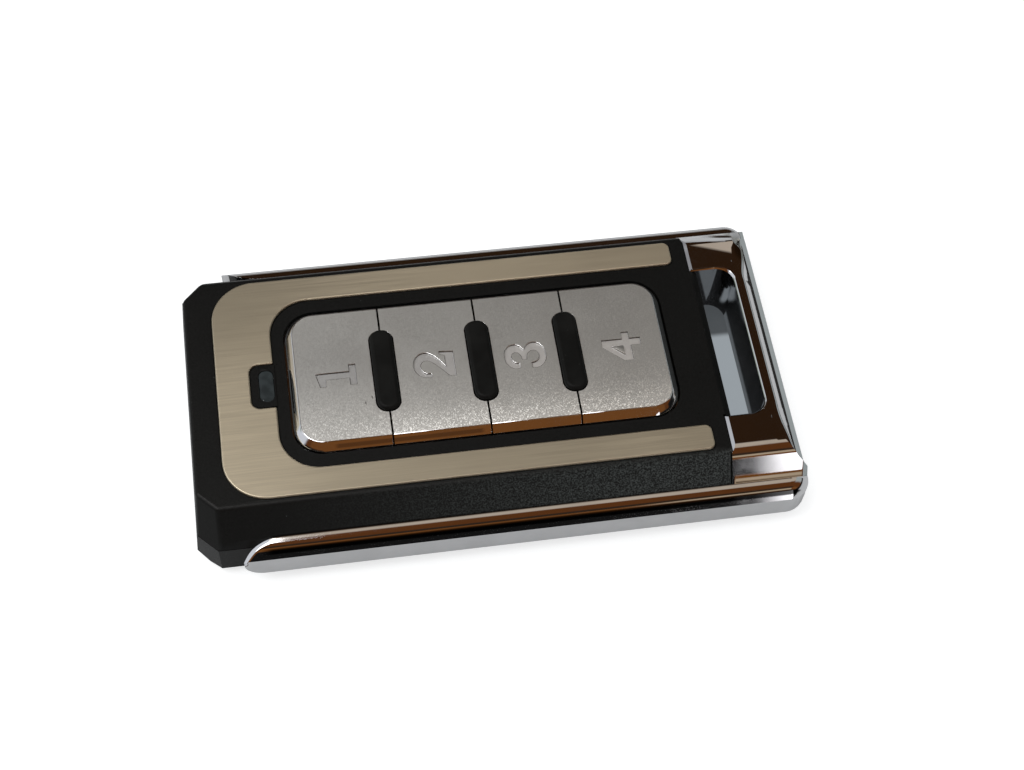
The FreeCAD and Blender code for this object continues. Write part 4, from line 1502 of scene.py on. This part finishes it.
@dataclass(frozen=True)
class Floor:
    """Plain pale floor that keeps the object's shadow, with a painted bluish shadow under the key-ring slot
    and painted light patches in the slot that only mirrors see.
    """

    reach: float = 1.5
    gap: float = 0.02
    pale: Colour = (0.49, 0.50, 0.505)
    paler: Colour = (0.52, 0.53, 0.535)
    glow: float = 0.68
    # Painted shadow: the floor under the key-ring slot is painted nearly black.
    slot: Patch = Patch(
        {"x": (21.8, 22.2), "y": (-9.8, -9.4)}, {"x": (27.7, 28.1), "y": (10.0, 10.4)}, (0.03, 0.033, 0.036)
    )
    # Bluish tint of the glow in the slot's painted shadow.
    slot_shadow_tint: Colour = (0.84, 0.93, 1.0)
    # Deeper painted shadow towards the far end of the slot.
    slot_far_shadow: Area = Area({"y": (5.6, 6.4)}, {})
    # Painted light patches at the slot's far left corner and its right side, for mirrored rays only.
    slot_corner_light: Area = Area({"y": (6.8, 7.8)}, {"x": (23.9, 24.6)})
    slot_right_light: Area = Area({"x": (26.0, 26.2)}, {})

    def material(self) -> bpy.types.Material:
        """Make the floor's material.

        Returns:
            The material.
        """
        material, graph = new_material("pale_floor")
        places = graph.places()
        paper = graph.blend(graph.noise(1.5, 3.0), self.pale, self.paler)
        shaded = {"Base Color": graph.layered(paper, self.slot.layer(places)), "Roughness": 0.9}
        rays = graph.node("ShaderNodeLightPath").outputs
        mirrored = Field(graph, rays["Is Glossy Ray"]) + Field(graph, rays["Is Transmission Ray"])
        in_slot = self.slot.mask(places)
        # Painted shadow in the slot: its glow is cut, more at its far end.
        dim = in_slot * (0.5 + self.slot_far_shadow.mask(places) * 0.4)
        # Painted light in the slot's corners, for mirrored rays only.
        corner = self.slot_corner_light.mask(places) * 0.20 + self.slot_right_light.mask(places) * 0.10
        glint = (1 - in_slot) * 0.03 + in_slot * corner
        strength = Field(graph, rays["Is Camera Ray"]) * self.glow * (1 - dim) + mirrored * glint
        glow = {"Color": graph.blend(in_slot, EVEN, self.slot_shadow_tint), "Strength": strength}
        shaders = {
            0: graph.node("ShaderNodeBsdfPrincipled", None, shaded).outputs[0],
            1: graph.node("ShaderNodeEmission", None, glow).outputs[0],
        }
        graph.finish(graph.node("ShaderNodeAddShader", None, shaders).outputs[0])
        return material

    def build(self) -> None:
        """Build the floor."""
        mesh = bmesh.new()
        bmesh.ops.create_grid(mesh, x_segments=4, y_segments=4, size=self.reach)
        bmesh.ops.translate(mesh, vec=(0.0, 0.0, -self.gap * MM), verts=mesh.verts)
        floor = solid_object("floor", mesh)
        floor.data.materials.append(self.material())


@dataclass(frozen=True)
class Room:
    """Soft even light, a white background, and the room that the bright metal mirrors.

    The room is painted by direction: x to the right, y to the back and z upwards.
    """

    fill: Colour = (0.55, 0.55, 0.5555)
    wood: Colour = (0.100, 0.033, 0.009)
    shade: Colour = (0.023, 0.0105, 0.0045)
    ember: Colour = (0.030, 0.018, 0.011)
    pale: Colour = (0.44, 0.37, 0.30)
    low: Area = Area({}, {"z": (0.17, 0.21)})
    low_back: Span = (-0.1, 0.35)
    low_colours: tuple[Colour, Colour] = ((0.007, 0.007, 0.007), (0.26, 0.25, 0.24))
    counter: Patch = Patch(
        {"z": (0.22, 0.28)}, {"y": (-0.66, -0.55), "z": (0.57, 0.63)}, (0.150, 0.056, 0.015)
    )
    lamp_edge: Patch = Patch(
        {"x": (0.175, 0.215), "z": (0.43, 0.49)},
        {"x": (0.28, 0.32), "y": (-0.66, -0.55), "z": (0.57, 0.63)},
        (0.42, 0.33, 0.23),
    )
    left: Patch = Patch({"y": (-0.45, -0.3)}, {"x": (-0.66, -0.50), "z": (0.66, 0.76)}, (0.66, 0.68, 0.72))
    green: Patch = Patch(
        {"y": (0.1, 0.3), "z": (0.05, 0.15)},
        {"x": (-0.70, -0.60), "z": (0.25, 0.35)},
        (0.14, 0.19, 0.11),
        0.7,
    )
    window: Patch = Patch(
        {"x": (0.248, 0.276), "z": (-0.03, 0.03)},
        {"x": (0.40, 0.44), "y": (-0.62, -0.5), "z": (0.28, 0.34)},
        (1.9, 1.86, 1.9),
    )
    right: Patch = Patch(
        {"x": (0.45, 0.60), "y": (-0.3, -0.1), "z": (0.16, 0.28)}, {"z": (0.74, 0.86)}, (0.34, 0.37, 0.37)
    )
    ceiling: Patch = Patch(
        {"y": (-0.11, 0.01), "z": (0.6, 0.7)}, {"x": (-0.24, -0.10), "y": (0.30, 0.42)}, (0.95, 0.90, 0.84)
    )
    corner: Patch = Patch({"x": (0.50, 0.66), "y": (-0.2, 0.0)}, {"z": (0.16, 0.26)}, (0.03, 0.03, 0.028))

    def build(self) -> None:
        """Set up the world."""
        world = bpy.data.worlds.new("room")
        bpy.context.scene.world = world
        world.use_nodes = True
        graph = Graph(world.node_tree)
        rays = graph.node("ShaderNodeLightPath").outputs
        direct = Field(graph, rays["Is Camera Ray"])
        mirrored = Field(graph, rays["Is Glossy Ray"]).larger(Field(graph, rays["Is Transmission Ray"]))
        seen = graph.layered(self.fill, (direct, EVEN), (mirrored, self.mirrored(graph)))
        shader = graph.node("ShaderNodeBackground", None, {"Color": seen, "Strength": 1.0}).outputs[0]
        graph.finish(shader, "ShaderNodeOutputWorld")

    def mirrored(self, graph: Graph) -> Socket:
        """Colour of the room in each direction.

        Args:
            graph: Node tree of the world.

        Returns:
            The colour.
        """
        x, y, z = graph.split(graph.node("ShaderNodeTexCoord").outputs["Generated"])
        ways = {"x": x, "y": y, "z": z}
        stops = [
            (0.0, self.ember), (0.17, self.ember), (0.22, self.wood), (0.44, self.wood),
            (0.49, self.pale), (0.63, self.pale), (0.68, self.shade), (1.0, self.shade),
        ]
        sky = graph.node("ShaderNodeValToRGB", {"stops": stops}, {0: (y + 1) * 0.5}).outputs[0]
        low = (self.low.mask(ways), graph.blend(y.rising(*self.low_back), *self.low_colours))
        below = [patch.layer(ways) for patch in (self.counter, self.lamp_edge)]
        parts = (self.left, self.green, self.window, self.right, self.ceiling, self.corner)
        above = [patch.layer(ways) for patch in parts]
        return graph.layered(sky, *below, low, *above)


@dataclass
class Studio:
    """Floor, room, lamp and camera at the photograph's place and angle."""

    floor: Floor = Floor()
    room: Room = Room()
    lamp: SoftLamp = SoftLamp()
    camera_place: Colour = (-0.01799, -0.08651, 0.15562)
    camera_forward: Colour = (0.11764, 0.49298, -0.86205)
    camera_right: Colour = (0.98751, -0.14973, 0.04913)
    lens: float = 59.77
    sensor: float = 36.0
    clip: Span = (0.005, 20.0)

    def build(self) -> None:
        """Set up the whole studio."""
        self.floor.build()
        self.room.build()
        self.lamp.build()
        self.build_camera()
        bpy.context.scene.view_settings.view_transform = "Standard"

    def build_camera(self) -> None:
        """Set the camera up."""
        data = bpy.data.cameras.new("camera")
        data.lens = self.lens
        data.sensor_width = self.sensor
        data.clip_start, data.clip_end = self.clip
        forward = Vector(self.camera_forward).normalized()
        right = Vector(self.camera_right)
        right = (right - forward * right.dot(forward)).normalized()
        turn = Matrix((right, right.cross(forward), -forward)).transposed()
        camera = placed("camera", data)
        camera.matrix_world = Matrix.Translation(self.camera_place) @ turn.to_4x4()
        bpy.context.scene.camera = camera


def main() -> None:
    """Build the studio and every sub-assembly, in order."""
    logging.basicConfig(level=logging.INFO, format="%(name)s: %(message)s")
    Studio().build()
    for assembly in (CaseHalves, PlatedFrame, TrimPlate, SignalWindow, Keypad, KeyBank, BackScrews, Inside):
        assembly().build()
        log.info("%s built", assembly.__name__)


if __name__ == "__main__":
    main()
